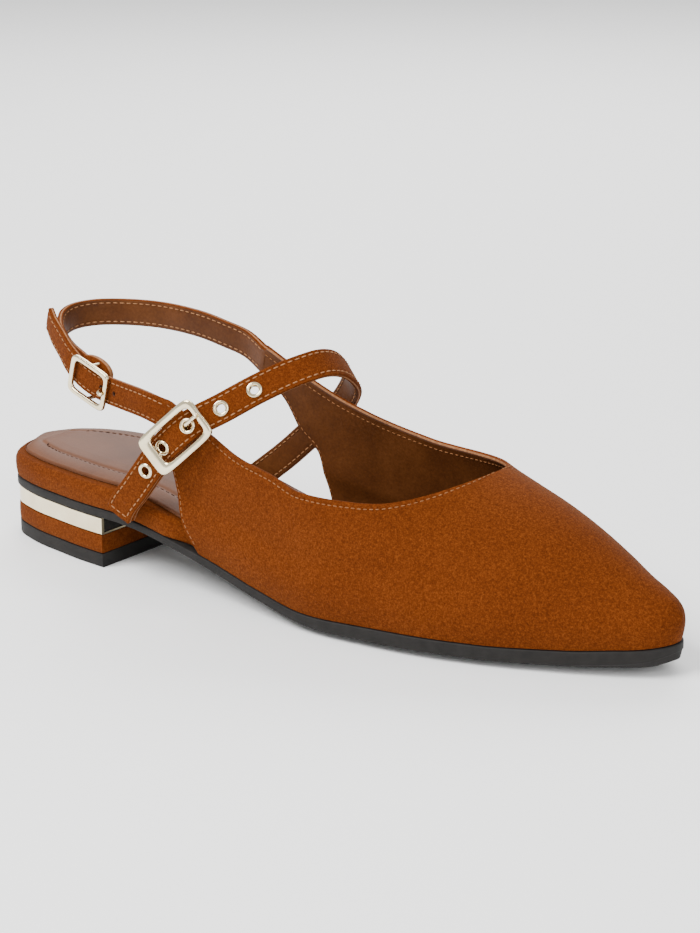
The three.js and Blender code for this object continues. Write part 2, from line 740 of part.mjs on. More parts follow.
add('heel_lift', heelSlab(0, liftTop, heelInset), colours.rubber, 0.6);
add('heel_block', heelSlab(blockFloor, blockTop, heelInset), colours.suede, 0.95);
add('heel_band', heelBand(bandFloorHeight, bandTop), colours.gold, 0.2, 1);
add('heel_core', heelSlab(bandFloorHeight + bandFloor + joint, bandTop, heelInset + bandWall + joint),
  colours.rubber, 0.5);
add('outsole', outsole(), colours.rubber, 0.55);
add('footbed_board', board(), colours.suede, 0.95);
add('insole_sock', sock(), colours.sock, 0.55);
add('upper', upper(), colours.suede, 0.95);

const layer = strapWall + joint;
const hole = (place, radius, half) => (
  rod([beside(place, 0, 0, -half), beside(place, 0, 0, half)], radius, 12));

// A strap's end folded round a pivot: its nose is bored for the pivot and slotted for the prong.
function folded(band, pivot, width) {
  const nose = acrossBar(pivot, width / 2, foldRadius);
  const bore = acrossBar(pivot, width, pivotRadius + pivotGap);
  const slot = acrossBar(pivot, foldSlot / 2, foldRadius + strapWall);
  const whole = toManifold(band).add(toManifold(nose));
  return fromManifold(whole.subtract(toManifold(bore)).subtract(toManifold(slot)));
}

// A buckle: its frame lies on the strap and its pivot passes under it between two posts.
function buckle(place, pivot, aside, sizes) {
  const centred = { ...place, centre: beside(place, 0, aside, 0) };
  return joined(frame(centred, sizes), rod([-1, 1].flatMap((side) => {
    const v = aside + side * (sizes.width - sizes.side) / 2;
    const post = [beside(place, 0, v, 0), beside(pivot, 0, v, 0)];
    return side < 0 ? post : post.reverse();
  }), pivotRadius));
}

// A prong: its eye turns on the pivot, and its shank comes up through the strap's hole and rests
// on the frame's front bar.
function prong(pivot, holePlace, place, reach, rim, sizes) {
  const under = -strapWall / 2 - 2.5 * joint - prongRadius;
  const over = sizes.thickness / 2 + joint + prongRadius;
  const shank = rod([
    pivot.centre,
    beside(holePlace, -2.4 * prongRadius, 0, under),
    beside(holePlace, -0.8 * prongRadius, 0, under * 0.6),
    holePlace.centre,
    beside(holePlace, 0.7 * prongRadius, 0, strapWall / 2 + joint + rim),
    beside(place, reach + 2.7 * prongRadius, 0, over * 0.85),
    beside(place, reach + 4.7 * prongRadius, 0, over),
    beside(place, (sizes.length - sizes.front * 0.4) / 2, 0, over),
  ], prongRadius, 6);
  const eye = acrossBar(pivot, foldSlot / 2 - joint, foldRadius);
  const bore = acrossBar(pivot, foldSlot, pivotRadius + pivotGap);
  return fromManifold(toManifold(eye).add(toManifold(shank)).subtract(toManifold(bore)));
}

// Heel strap: the loop folds round the rear pivot, and the buckled end lies on it
const rearSizes = {
  length: rearLength,
  width: rearWidth,
  front: rearBar,
  rear: rearBar,
  side: rearBar,
  thickness: rearThickness,
};
const rearHole = tailRun.at(rearShare + rearReach / tailRun.length);
const slingBand = loft([farEnd, ...bandRings(slingRun, steps(44).slice(1), slingWidth)]);
const tailBand = loft([...bandRings(tailRun, steps(32).slice(0, -1), slingWidth), nearEnd]);
add('slingback_strap', folded(slingBand, rearPivot, slingWidth), colours.suede, 0.95);
add('slingback_tail', cut(tailBand, hole(rearHole, 2 * prongRadius, strapWall)), colours.suede, 0.95);
add('rear_buckle', buckle(rearPlace, rearPivot, 0, rearSizes), colours.gold, 0.2, 1);
add('rear_prong', prong(rearPivot, rearHole, rearPlace, rearReach, 0, rearSizes), colours.gold, 0.2, 1);

// Instep strap: the long part with its eyelets, and the short part that holds the main buckle
const mainSizes = {
  length: mainLength,
  width: mainWidth,
  front: mainBar,
  rear: mainWideBar,
  side: mainBar,
  thickness: mainThickness,
};
const eyeletAt = (index) => (eyeletOffset + index * eyeletPitch) / instepRun.length;
const eyelets = steps(eyeletCount - 1, 0, eyeletCount - 1).map((index) => instepRun.at(eyeletAt(index)));
const pivotShare = eyeletAt(mainEyelet) - mainReach / instepRun.length;
const mainPlace = onFace(instepRun.at(pivotShare), mainThickness);
const mainPivot = underFace(instepRun.at(pivotShare));

function eyelet(place) {
  const seat = strapWall / 2 + joint / 2;
  const tube = rod([
    beside(place, 0, 0, -seat),
    beside(place, 0, 0, seat + eyeletRim / 2),
  ], eyeletTube, 12);
  const flange = rod([
    beside(place, 0, 0, seat),
    beside(place, 0, 0, seat + eyeletRim),
  ], eyeletOuter / 2, 12);
  const bore = hole(place, eyeletHole / 2, strapWall * 2);
  return fromManifold(toManifold(tube).add(toManifold(flange)).subtract(toManifold(bore)));
}

add('instep_strap', cut(
  loft(bandRings(instepRun, steps(54), strapWidth)),
  ...eyelets.map((place) => hole(place, eyeletTube + joint, strapWall)),
), colours.suede, 0.95);
const billetBand = loft(bandRings(instepRun, steps(14, 0, pivotShare), strapWidth, layer));
add('instep_billet', folded(billetBand, mainPivot, strapWidth), colours.suede, 0.95);
add('main_buckle', buckle(mainPlace, mainPivot, mainAside, mainSizes), colours.gold, 0.2, 1);
add('main_prong', prong(mainPivot, eyelets[mainEyelet], mainPlace, mainReach, eyeletRim, mainSizes),
  colours.gold, 0.2, 1);
eyelets.forEach((place, index) => add(`eyelet_${index + 1}`, eyelet(place), colours.gold, 0.2, 1));

export default group;
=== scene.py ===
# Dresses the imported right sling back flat: suede, lining, stitches, metal, rubber, floor, light, camera.
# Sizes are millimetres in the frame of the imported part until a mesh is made.
import math
import bmesh
import bpy
import numpy as np
from mathutils import Matrix, Vector


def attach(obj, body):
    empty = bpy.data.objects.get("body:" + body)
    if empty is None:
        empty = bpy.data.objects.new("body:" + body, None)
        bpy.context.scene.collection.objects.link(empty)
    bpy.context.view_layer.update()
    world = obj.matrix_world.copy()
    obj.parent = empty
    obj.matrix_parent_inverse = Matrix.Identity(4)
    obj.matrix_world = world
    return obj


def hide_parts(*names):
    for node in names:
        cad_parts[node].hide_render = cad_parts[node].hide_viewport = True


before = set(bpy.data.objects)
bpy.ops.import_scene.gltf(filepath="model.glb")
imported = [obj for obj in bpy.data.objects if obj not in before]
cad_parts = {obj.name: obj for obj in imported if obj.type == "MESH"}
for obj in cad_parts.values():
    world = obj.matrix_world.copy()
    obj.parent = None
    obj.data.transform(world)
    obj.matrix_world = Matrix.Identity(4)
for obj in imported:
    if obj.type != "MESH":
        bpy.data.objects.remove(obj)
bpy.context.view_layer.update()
MM = 0.001


def table(names, rows):
    """Named columns of a short table."""
    return dict(zip(names.split(), np.array(rows, float).T))


SOLE_LENGTH = 260.8
BALL_WIDTH = 74
HEEL_BACK = 23
HEEL_LENGTH = 56.3
HEEL_INSET = 0.5
LIFT_HEIGHT = 4.7
BLOCK_HEIGHT = 6.2
BAND_HEIGHT = 5.9
BAND_WALL = 1.2
BAND_FLOOR = 0.6
SOLE_THICKNESS = 6.6
SOLE_EDGE_LIFT = 2.3
BOARD_HEIGHT = 8.0
BOARD_SWELL = 0.4
SOCK_THICKNESS = 2.0
SOCK_INSET = 3.2
SOCK_CROWN = 1.0
JOINT = 0.3
UPPER_WALL = 1.8
UPPER_INSET = 0.5
FEATHER_ROLL = 1.3
FEATHER_ROLL_HEIGHT = 17
THROAT_HEIGHT = 51
THROAT_SHARE = 0.740
STRAP_WIDTH = 9.6
SLING_WIDTH = 9.2
STRAP_WALL = 1.9
SLING_HEIGHT = 66
SLING_REACH = 62
SLING_SPAN = 27.5
INSTEP_RISE = 83
INSTEP_SPAN = 30
INSTEP_START = 46
INSTEP_BACK = 19
INSTEP_LEAN = 44.6
INSTEP_TURN = 11.5
EYELET_OUTER = 5.4
EYELET_HOLE = 2.8
EYELET_PITCH = 12.0
EYELET_START = 22.5
EYELET_TUBE = 1.9
EYELET_COUNT = 5
EYELET_RIM = 0.6
MAIN_EYELET = 2
MAIN_REACH = 4.9
MAIN_LENGTH = 24.8
MAIN_ASIDE = -0.6
MAIN_WIDTH = 15
MAIN_BAR = 2.3
MAIN_WIDE_BAR = 4.2
MAIN_THICKNESS = 1.7
PIVOT_RADIUS = 0.6
PIVOT_GAP = 0.2
FOLD_WALL = 0.7
FOLD_SLOT = 3
REAR_LENGTH = 18.5
REAR_WIDTH = 14
REAR_BAR = 1.5
REAR_THICKNESS = 1.5
REAR_SHARE = 0.478
REAR_REACH = 5.4
PRONG_RADIUS = 0.55
REAR_RUNS = 8
SIDE_RUNS = 14
TOE_RUNS = 16

OUTLINE = table("at near far centre", [
    (0, 0, 0, 0), (0.008, 0.26, 0.265, 0), (0.021, 0.422, 0.43, 0), (0.037, 0.511, 0.53, 0),
    (0.059, 0.576, 0.61, 0), (0.088, 0.641, 0.675, 0), (0.129, 0.697, 0.715, 0),
    (0.172, 0.749, 0.735, 0), (0.214, 0.778, 0.735, 0), (0.283, 0.8, 0.716, 0),
    (0.385, 0.843, 0.703, 0), (0.488, 0.924, 0.784, 0), (0.59, 0.997, 0.932, 0.003),
    (0.652, 0.97, 1.005, 0.008), (0.713, 0.919, 1.027, 0.014), (0.795, 0.784, 0.905, 0.032),
    (0.877, 0.578, 0.676, 0.054), (0.939, 0.397, 0.446, 0.076), (0.98, 0.236, 0.25, 0.089),
    (1, 0, 0, 0.097),
])
PROFILE = table("at under sole board lift", [
    (0, 1, 0.44, 1, 0), (0.228, 1, 0.44, 1, 0), (0.272, 0.955, 0.41, 0.98, 0.05),
    (0.337, 0.791, 0.42, 0.9, 0.13), (0.409, 0.548, 0.54, 0.74, 0.35), (0.497, 0.232, 0.67, 0.55, 0.65),
    (0.566, 0.034, 0.83, 0.42, 0.91), (0.605, 0, 0.92, 0.36, 1), (0.7, 0, 1, 0.3, 1),
    (0.79, 0, 1, 0.28, 1), (0.891, 0.045, 1, 0.26, 1), (0.937, 0.1, 1, 0.25, 1),
    (0.975, 0.165, 0.95, 0.24, 1), (1, 0.29, 0.75, 0.22, 1),
])
LAST = table("at ridge side round", [
    (0.283, 2, 0.52, 3.2), (0.373, 1.87, 0.52, 3.1), (0.467, 1.74, 0.53, 2.8), (0.59, 1.42, 0.54, 2.4),
    (0.665, 1.19, 0.54, 2.25), (0.71, 1.06, 0.54, 2.1), (0.74, 1, 0.54, 2), (0.803, 0.9, 0.53, 1.95),
    (0.86, 0.79, 0.52, 1.95), (0.914, 0.655, 0.51, 2), (0.943, 0.575, 0.5, 2.05),
    (0.97, 0.51, 0.5, 2.1), (0.99, 0.45, 0.5, 2.2), (1, 0.37, 0.5, 2.3),
])
TOPLINE = table("at near far", [
    (0.333, 1.247, 1.385), (0.405, 1.09, 1.216), (0.454, 0.99, 1.11), (0.508, 0.933, 1.025),
    (0.554, 0.868, 0.97), (0.592, 0.862, 0.937), (0.634, 0.862, 0.926), (0.655, 0.868, 0.928),
    (0.683, 0.895, 0.938), (0.706, 0.93, 0.955), (0.724, 0.966, 0.978), (0.74, 1, 1),
])
SLING = table("along side height", [
    (0.839, 0.949, 1.042), (0.678, 0.964, 1.071), (0.5, 0.964, 1.097), (0.234, 0.935, 1.109),
    (0, 0.771, 1.108), (-0.126, 0.538, 1.106), (-0.168, 0.273, 1.1), (-0.152, 0.055, 1.085),
    (-0.076, -0.182, 1.055), (0.056, -0.4, 1.027), (0.177, -0.567, 1.009), (0.277, -0.655, 0.991),
])
TAIL = table("along side height", [
    (-0.027, -0.473, 1.174), (0.052, -0.578, 1.129), (0.142, -0.673, 1.085), (0.223, -0.746, 1.036),
    (0.311, -0.789, 0.983), (0.416, -0.822, 0.944), (0.532, -0.851, 0.921), (0.678, -0.902, 0.912),
    (0.839, -0.978, 0.908),
])
INSTEP = table("across rise aside twist", [
    (-1.01, 0.044, -0.42, 20), (-1.032, 0.098, -0.31, 20), (-1.04, 0.194, -0.24, 20),
    (-1.044, 0.297, -0.12, 20), (-1.056, 0.438, 0.01, 18), (-1.051, 0.528, -0.01, 16),
    (-0.978, 0.602, 0.02, 14), (-0.756, 0.719, -0.04, 11), (-0.5, 0.826, -0.01, 8),
    (-0.272, 0.907, -0.01, 5), (-0.073, 0.962, -0.03, 3), (0.149, 0.987, -0, 0),
    (0.413, 0.971, 0.02, -3), (0.708, 0.91, -0.01, -6), (0.957, 0.825, 0.03, -8),
    (1.125, 0.692, 0.06, -9), (1.197, 0.56, 0.11, -10), (1.179, 0.416, 0.17, -10),
    (1.156, 0.266, 0.21, -10), (1.113, 0.07, 0.35, -10),
])
REAR_NEAR = table("share height", [
    (0.325, 1.058), (0.343, 0.818), (0.355, 0.622), (0.365, 0.471), (0.387, 0),
])
REAR_FAR = table("share height", [
    (0.322, 1.208), (0.359, 1.061), (0.386, 0.847), (0.411, 0.729), (0.419, 0.565), (0.434, 0),
])

SEAT_HEIGHT = LIFT_HEIGHT + BLOCK_HEIGHT + BAND_HEIGHT + 3 * JOINT


def smooth(columns, name, power=1):
    """Monotone cubic through a column of a table."""
    x = columns["at"]
    y = columns[name] ** power
    slope = np.diff(y) / np.diff(x)
    tangent = np.concatenate([slope[:1], np.zeros(len(x) - 2), slope[-1:]])
    product = slope[:-1] * slope[1:]
    total = np.where(product > 0, slope[:-1] + slope[1:], 1)
    tangent[1:-1] = np.where(product > 0, 2 * product / total, 0)

    def value(at):
        at = np.asarray(at, float)
        i = np.clip(np.searchsorted(x, at) - 1, 0, len(x) - 2)
        span = x[i + 1] - x[i]
        t = np.clip((at - x[i]) / span, 0, 1)
        return ((2 * t**3 - 3 * t**2 + 1) * y[i] + (t**3 - 2 * t**2 + t) * span * tangent[i]
                + (3 * t**2 - 2 * t**3) * y[i + 1] + (t**3 - t**2) * span * tangent[i + 1])

    return value


width_squared = {side: smooth(OUTLINE, side, 2) for side in ("near", "far")}
centre_line = smooth(OUTLINE, "centre")
under_share = smooth(PROFILE, "under")
sole_share = smooth(PROFILE, "sole")
board_share = smooth(PROFILE, "board")
lift_share = smooth(PROFILE, "lift")
ridge_share = smooth(LAST, "ridge")
ridge_side = smooth(LAST, "side")
section_round = smooth(LAST, "round")
topline = {side: smooth(TOPLINE, side) for side in ("near", "far")}


def sole_under(share):
    return under_share(share) * SEAT_HEIGHT


def sole_top(share):
    return sole_under(share) + sole_share(share) * SOLE_THICKNESS


def board_top(share):
    return sole_top(share) + JOINT + board_share(share) * BOARD_HEIGHT


def edge(share, side, offset=0.0):
    """Points of the sole's outline in plan, moved outwards by offset."""
    sign = -1 if side == "near" else 1
    share, offset = np.broadcast_arrays(np.asarray(share, float), np.asarray(offset, float))

    def at(s):
        half = np.sqrt(np.maximum(0, width_squared[side](s)))
        return s * SOLE_LENGTH - HEEL_BACK, (centre_line(s) + sign * half) * BALL_WIDTH / 2

    step = np.maximum(np.minimum(0.004, np.minimum(share, 1 - share) / 2), 1e-7)
    x, y = at(share)
    x1, y1 = at(np.minimum(share + step, 1))
    x0, y0 = at(np.maximum(share - step, 0))
    length = np.maximum(np.hypot(x1 - x0, y1 - y0), 1e-9)
    nx = np.where(share <= 0, -1, np.where(share >= 1, 1, -sign * (y1 - y0) / length))
    ny = np.where((share <= 0) | (share >= 1), 0, sign * (x1 - x0) / length)
    return x + nx * offset, y + ny * offset


def last_point(share, turn, offset):
    """Points of the last: turn 0 is the near feather edge, 1 the ridge, 2 the far feather edge."""
    share, turn = np.broadcast_arrays(np.asarray(share, float), np.asarray(turn, float))
    base = sole_top(share) + JOINT
    top = ridge_share(share) * THROAT_HEIGHT + offset
    angle = np.where(turn <= 1, turn, 2 - turn) * np.pi / 2
    power = 2 / section_round(share)
    height = base + (top - base) * np.clip(np.sin(angle), 0, 1) ** power
    roll = FEATHER_ROLL * np.sin(np.pi * np.clip((height - base) / FEATHER_ROLL_HEIGHT, 0, 1))
    nx, ny = edge(share, "near", offset - UPPER_INSET + roll)
    fx, fy = edge(share, "far", offset - UPPER_INSET + roll)
    side = ridge_side(share)
    rx, ry = nx + (fx - nx) * side, ny + (fy - ny) * side
    spread = np.clip(np.cos(angle), 0, 1) ** power
    ox, oy = np.where(turn <= 1, nx, fx), np.where(turn <= 1, ny, fy)
    return np.stack([rx + (ox - rx) * spread, ry + (oy - ry) * spread, height], -1)


def turn_of(share, height):
    base = sole_top(share) + JOINT
    rise = np.clip((height - base) / (ridge_share(share) * THROAT_HEIGHT - base), 0, 1)
    return np.arcsin(rise ** (section_round(share) / 2)) / (np.pi / 2)


def unit(v):
    return v / np.maximum(np.linalg.norm(v, axis=-1, keepdims=True), 1e-12)


def linked(item):
    bpy.context.scene.collection.objects.link(item)
    return item


def placed(name, mesh, nodes=()):
    """A piece of the shoe made of a mesh, with the nodes that it dresses."""
    piece = linked(bpy.data.objects.new(name, mesh))
    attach(piece, "root")
    if nodes:
        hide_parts(*nodes)
    return piece


def set_inputs(node, values):
    for name, value in values.items():
        node.inputs[name].default_value = value


WELD = 0.004


class Build:
    """Collects grids of points into one mesh with a material index a face."""

    def __init__(self):
        self.points, self.faces, self.index, self.count = [], [], [], 0

    def grid(self, points, material=0, close_columns=False, close_rows=False):
        rows, columns = points.shape[:2]
        a = np.arange(rows * columns).reshape(rows, columns) + self.count
        if close_rows:
            a = np.vstack([a, a[:1]])
        if close_columns:
            a = np.hstack([a, a[:, :1]])
        quads = np.stack([a[:-1, :-1], a[:-1, 1:], a[1:, 1:], a[1:, :-1]], -1).reshape(-1, 4)
        material = np.broadcast_to(np.asarray(material), (a.shape[0] - 1, a.shape[1] - 1))
        self.points.append(points.reshape(-1, 3))
        self.faces.extend(quads.tolist())
        self.index.extend(material.reshape(-1).tolist())
        self.count += rows * columns
        return self

    def cap(self, ring, material=0):
        self.points.append(np.asarray(ring))
        self.faces.append(list(range(self.count, self.count + len(ring))))
        self.index.append(int(material))
        self.count += len(ring)
        return self

    def mesh(self, name, materials, sharp=35):
        mesh = bpy.data.meshes.new(name)
        mesh.from_pydata((np.vstack(self.points) * MM).tolist(), [], self.faces)
        mesh.polygons.foreach_set("material_index", self.index)
        for material in materials:
            mesh.materials.append(material)
        work = bmesh.new()
        work.from_mesh(mesh)
        bmesh.ops.remove_doubles(work, verts=work.verts, dist=WELD * MM)
        bmesh.ops.dissolve_degenerate(work, edges=work.edges, dist=WELD * MM / 4)
        bmesh.ops.recalc_face_normals(work, faces=work.faces)
        work.to_mesh(mesh)
        work.free()
        mesh.shade_smooth()
        mesh.set_sharp_from_angle(angle=math.radians(sharp))
        return mesh

    def make(self, name, materials, slot, nodes, sharp=35):
        return placed(name, self.mesh(name, materials, sharp), nodes)


def drilled(piece, holes, material):
    """Cuts round holes, given as (place, radius, half length), through a piece."""
    cutter = Build()
    for (centre, forward, width, out), radius, half in holes:
        angles = np.linspace(0, 2 * np.pi, 32, endpoint=False)[:, None]
        ring = centre + (forward * np.cos(angles) + width * np.sin(angles)) * radius
        rings = np.array([ring - out * half, ring + out * half])
        cutter.grid(rings, 0, close_columns=True).cap(rings[0]).cap(rings[1])
    tool = linked(bpy.data.objects.new(piece.name + "_holes", cutter.mesh(piece.name + "_holes", [material])))
    change = piece.modifiers.new("holes", "BOOLEAN")
    change.operation, change.solver, change.object = "DIFFERENCE", "EXACT", tool
    bpy.context.view_layer.update()
    mesh = bpy.data.meshes.new_from_object(piece.evaluated_get(bpy.context.evaluated_depsgraph_get()))
    piece.modifiers.clear()
    piece.data = mesh
    tool_mesh = tool.data
    bpy.data.objects.remove(tool)
    bpy.data.meshes.remove(tool_mesh)


def strip(first, second, away, bulge, count=6):
    """Rows across an edge between two lines of points, rounded outwards."""
    k = np.linspace(0, 1, count + 1)[None, :, None]
    rise = np.sin(np.pi * k) ** 0.8
    return first[:, None] * (1 - k) + second[:, None] * k + away[:, None] * bulge[:, None, None] * rise


# Materials

def new_material(name):
    material = bpy.data.materials.new(name)
    material.use_nodes = True
    tree = material.node_tree
    return material, tree, tree.nodes["Principled BSDF"]


def noise(tree, scale, detail, roughness):
    node = tree.nodes.new("ShaderNodeTexNoise")
    set_inputs(node, {"Scale": scale, "Detail": detail, "Roughness": roughness})
    place = tree.nodes.new("ShaderNodeTexCoord").outputs["Object"]
    tree.links.new(place, node.inputs["Vector"])
    return node.outputs["Fac"]


def mixed(tree, parts):
    """Weighted sum of factors."""
    total = None
    for output, weight in parts:
        scaled = tree.nodes.new("ShaderNodeMath")
        scaled.operation = "MULTIPLY_ADD"
        tree.links.new(output, scaled.inputs[0])
        scaled.inputs[1].default_value = weight
        scaled.inputs[2].default_value = 0
        if total is not None:
            tree.links.new(total, scaled.inputs[2])
        total = scaled.outputs[0]
    return total


def ramp(tree, factor, stops):
    node = tree.nodes.new("ShaderNodeValToRGB")
    while len(node.color_ramp.elements) < len(stops):
        node.color_ramp.elements.new(0.5)
    for element, (position, colour) in zip(node.color_ramp.elements, stops):
        element.position = position
        element.color = (*colour, 1)
    tree.links.new(factor, node.inputs["Fac"])
    return node.outputs["Color"]


def bumped(tree, shader, height, distance, strength):
    node = tree.nodes.new("ShaderNodeBump")
    set_inputs(node, {"Strength": strength, "Distance": distance * MM})
    tree.links.new(height, node.inputs["Height"])
    tree.links.new(node.outputs["Normal"], shader.inputs["Normal"])


def suede(name, dark, base, light):
    material, tree, shader = new_material(name)
    nap = noise(tree, 1900, 4, 0.75)
    mottle = noise(tree, 1000, 3, 0.6)
    brushed = noise(tree, 26, 2, 0.5)
    factor = mixed(tree, [(nap, 0.62), (mottle, 0.26), (brushed, 0.12)])
    tree.links.new(ramp(tree, factor, [(0.38, dark), (0.5, base), (0.62, light)]),
                   shader.inputs["Base Color"])
    fibre = mixed(tree, [(nap, 0.5), (noise(tree, 3800, 2, 0.6), 0.5)])
    bumped(tree, shader, fibre, 0.2, 0.8)
    set_inputs(shader, {"Roughness": 0.98, "Specular IOR Level": 0.06, "Sheen Weight": 0.05,
                        "Sheen Roughness": 0.4, "Sheen Tint": (1.0, 0.62, 0.36, 1)})
    return material


def leather(name, dark, base, light, pebble, roughness, depth=0.06):
    material, tree, shader = new_material(name)
    cells = tree.nodes.new("ShaderNodeTexVoronoi")
    cells.inputs["Scale"].default_value = pebble
    tree.links.new(tree.nodes.new("ShaderNodeTexCoord").outputs["Object"], cells.inputs["Vector"])
    grain = noise(tree, pebble * 0.8, 3, 0.6)
    cloud = noise(tree, 60, 4, 0.6)
    factor = mixed(tree, [(cloud, 0.6), (grain, 0.4)])
    tree.links.new(ramp(tree, factor, [(0.35, dark), (0.52, base), (0.68, light)]),
                   shader.inputs["Base Color"])
    bumped(tree, shader, mixed(tree, [(cells.outputs["Distance"], 0.7), (grain, 0.5)]), depth, 0.7)
    set_inputs(shader, {"Roughness": roughness, "Specular IOR Level": 0.15})
    return material


def plain(name, dark, light, scale, roughness, metallic=0.0, depth=0.01, rough_spread=0.06):
    material, tree, shader = new_material(name)
    wear = noise(tree, scale, 4, 0.6)
    tree.links.new(ramp(tree, wear, [(0.35, dark), (0.65, light)]), shader.inputs["Base Color"])
    spread = tree.nodes.new("ShaderNodeMapRange")
    set_inputs(spread, {"To Min": roughness - rough_spread, "To Max": roughness + rough_spread})
    tree.links.new(wear, spread.inputs["Value"])
    tree.links.new(spread.outputs["Result"], shader.inputs["Roughness"])
    bumped(tree, shader, noise(tree, scale * 3, 3, 0.6), depth, 0.6)
    set_inputs(shader, {"Metallic": metallic, "Specular IOR Level": 0.5 if metallic else 0.2})
    return material


TAN = suede("tan_suede", (0.054, 0.0105, 0.0012), (0.094, 0.0205, 0.0026), (0.150, 0.0375, 0.0060))
LINING = leather("brown_lining", (0.052, 0.0150, 0.0030), (0.078, 0.0240, 0.0052), (0.105, 0.0345, 0.0085),
                 1300, 0.5)
SOCK = leather("taupe_sock", (0.080, 0.0285, 0.0110), (0.098, 0.0350, 0.0138), (0.116, 0.0425, 0.0175),
               1500, 0.5, 0.03)
RUBBER = plain("grey_brown_rubber", (0.0075, 0.0066, 0.0060), (0.013, 0.0115, 0.0105), 220, 0.65, 0, 0.02)
CORE = plain("black_core", (0.005, 0.004, 0.003), (0.010, 0.008, 0.006), 300, 0.6, 0, 0.02)
GOLD = plain("pale_gold", (0.74, 0.62, 0.40), (0.90, 0.79, 0.55), 70, 0.15, 1.0, 0.004, 0.05)
THREAD = plain("peach_thread", (0.24, 0.100, 0.038), (0.37, 0.185, 0.085), 2500, 0.85, 0, 0.05)
TOP_THREAD = plain("tan_thread", (0.17, 0.062, 0.019), (0.27, 0.118, 0.045), 2500, 0.85, 0, 0.05)
SOCK_THREAD = plain("taupe_thread", (0.028, 0.011, 0.006), (0.052, 0.023, 0.013), 2500, 0.8, 0, 0.05)
CREAM = plain("raw_edge", (0.17, 0.065, 0.022), (0.27, 0.12, 0.05), 900, 0.8, 0, 0.05)
PAINT = plain("edge_paint", (0.032, 0.0085, 0.0018), (0.055, 0.016, 0.0038), 700, 0.65, 0, 0.03)
SKIN = [TAN, LINING, CREAM, PAINT]


# Stitches

STITCH = table("along across up", [
    (-1, 0, -0.6), (-0.86, 0.7, 0.1), (-0.86, -0.7, 0.1), (-0.86, 0, 0.6),
    (-0.4, 1, 0.2), (-0.4, -1, 0.2), (-0.4, 0, 1), (0.4, 1, 0.2), (0.4, -1, 0.2), (0.4, 0, 1),
    (0.86, 0.7, 0.1), (0.86, -0.7, 0.1), (0.86, 0, 0.6), (1, 0, -0.6),
])
STITCH_FACES = [
    (0, 3, 1), (0, 2, 3), (0, 1, 2), (1, 3, 6, 4), (3, 2, 5, 6), (2, 1, 4, 5), (4, 6, 9, 7),
    (6, 5, 8, 9), (5, 4, 7, 8), (7, 9, 12, 10), (9, 8, 11, 12), (8, 7, 10, 11), (13, 10, 12),
    (13, 12, 11), (13, 11, 10),
]


def stitches(name, lines, material, pitch, length, width, height):
    """Sewn thread along lines of (points, normals)."""
    points, faces, count = [], [], 0
    along, across, up = (STITCH[k][:, None] for k in ("along", "across", "up"))
    for line, normals in lines:
        s = np.concatenate([[0], np.cumsum(np.linalg.norm(np.diff(line, axis=0), axis=1))])
        number = max(1, int(round(s[-1] / pitch)))
        step = s[-1] / number
        for i in range(number):
            middle = (i + 0.5) * step
            ends = [np.array([np.interp(middle + d, s, line[:, k]) for k in range(3)])
                    for d in (-length / 2, 0, length / 2)]
            out = unit(np.array([np.interp(middle, s, normals[:, k]) for k in range(3)]))
            forward = unit(ends[2] - ends[0])
            side = np.cross(out, forward)
            centre = (ends[0] + ends[2]) / 2
            points.append(centre + forward * along * length / 2 + side * across * width
                          + out * (up * height + np.dot(ends[1] - centre, out)))
            faces.extend(tuple(v + count for v in face) for face in STITCH_FACES)
            count += len(along)
    mesh = bpy.data.meshes.new(name)
    mesh.from_pydata((np.vstack(points) * MM).tolist(), [], faces)
    mesh.materials.append(material)
    mesh.shade_smooth()
    placed(name, mesh)


# Sole and heel

def slab(build, shares, low, high, offset, low_round, high_round, across=22, arc=5,
         open_end=False, belly=0.0):
    """Slab along the outline with rounded edges. low and high are heights of (share, across)."""
    turn = np.linspace(0, np.pi / 2, arc)
    flat = np.linspace(-1, 1, across + 1)[1:-1]
    columns = [(-1, -low_round * (1 - math.sin(a)), 0, low_round * (1 - math.cos(a))) for a in turn]
    if belly:
        columns += [(-1, belly * math.sin(math.pi * k), k, 0) for k in (0.25, 0.5, 0.75)]
    columns += [(-1, -high_round * (1 - math.cos(a)), 1, -high_round * (1 - math.sin(a))) for a in turn]
    side = list(columns)
    columns += [(t, -high_round, 1, 0) for t in flat]
    columns += [(1, *c[1:]) for c in reversed(side)]
    columns += [(t, -low_round, 0, 0) for t in flat[::-1]]
    rings = []
    offset = np.broadcast_to(offset, shares.shape)
    for t, out, rise, lift in columns:
        near = edge(shares, "near", offset + out)
        far = edge(shares, "far", offset + out)
        k = (t + 1) / 2
        bottom, top = low(shares, t), high(shares, t)
        height = bottom + (top - bottom) * rise + lift
        rings.append(np.stack([near[0] + (far[0] - near[0]) * k, near[1] + (far[1] - near[1]) * k,
                               height], -1))
    points = np.stack(rings, 1)
    build.grid(points, 0, close_columns=True)
    if open_end:
        build.cap(points[-1])
    return build


def stations(count, low=0.0, high=1.0):
    a = np.linspace(math.acos(1 - 2 * low), math.acos(1 - 2 * high), count + 1)
    return np.clip((1 - np.cos(a)) / 2, 0, 1)


def level(height):
    return lambda share, t: np.full_like(share, height)


breast = HEEL_LENGTH / SOLE_LENGTH
heel_shares = stations(60, 0, breast)
block_floor = LIFT_HEIGHT + JOINT
band_floor_height = block_floor + BLOCK_HEIGHT + JOINT
band_top = band_floor_height + BAND_HEIGHT

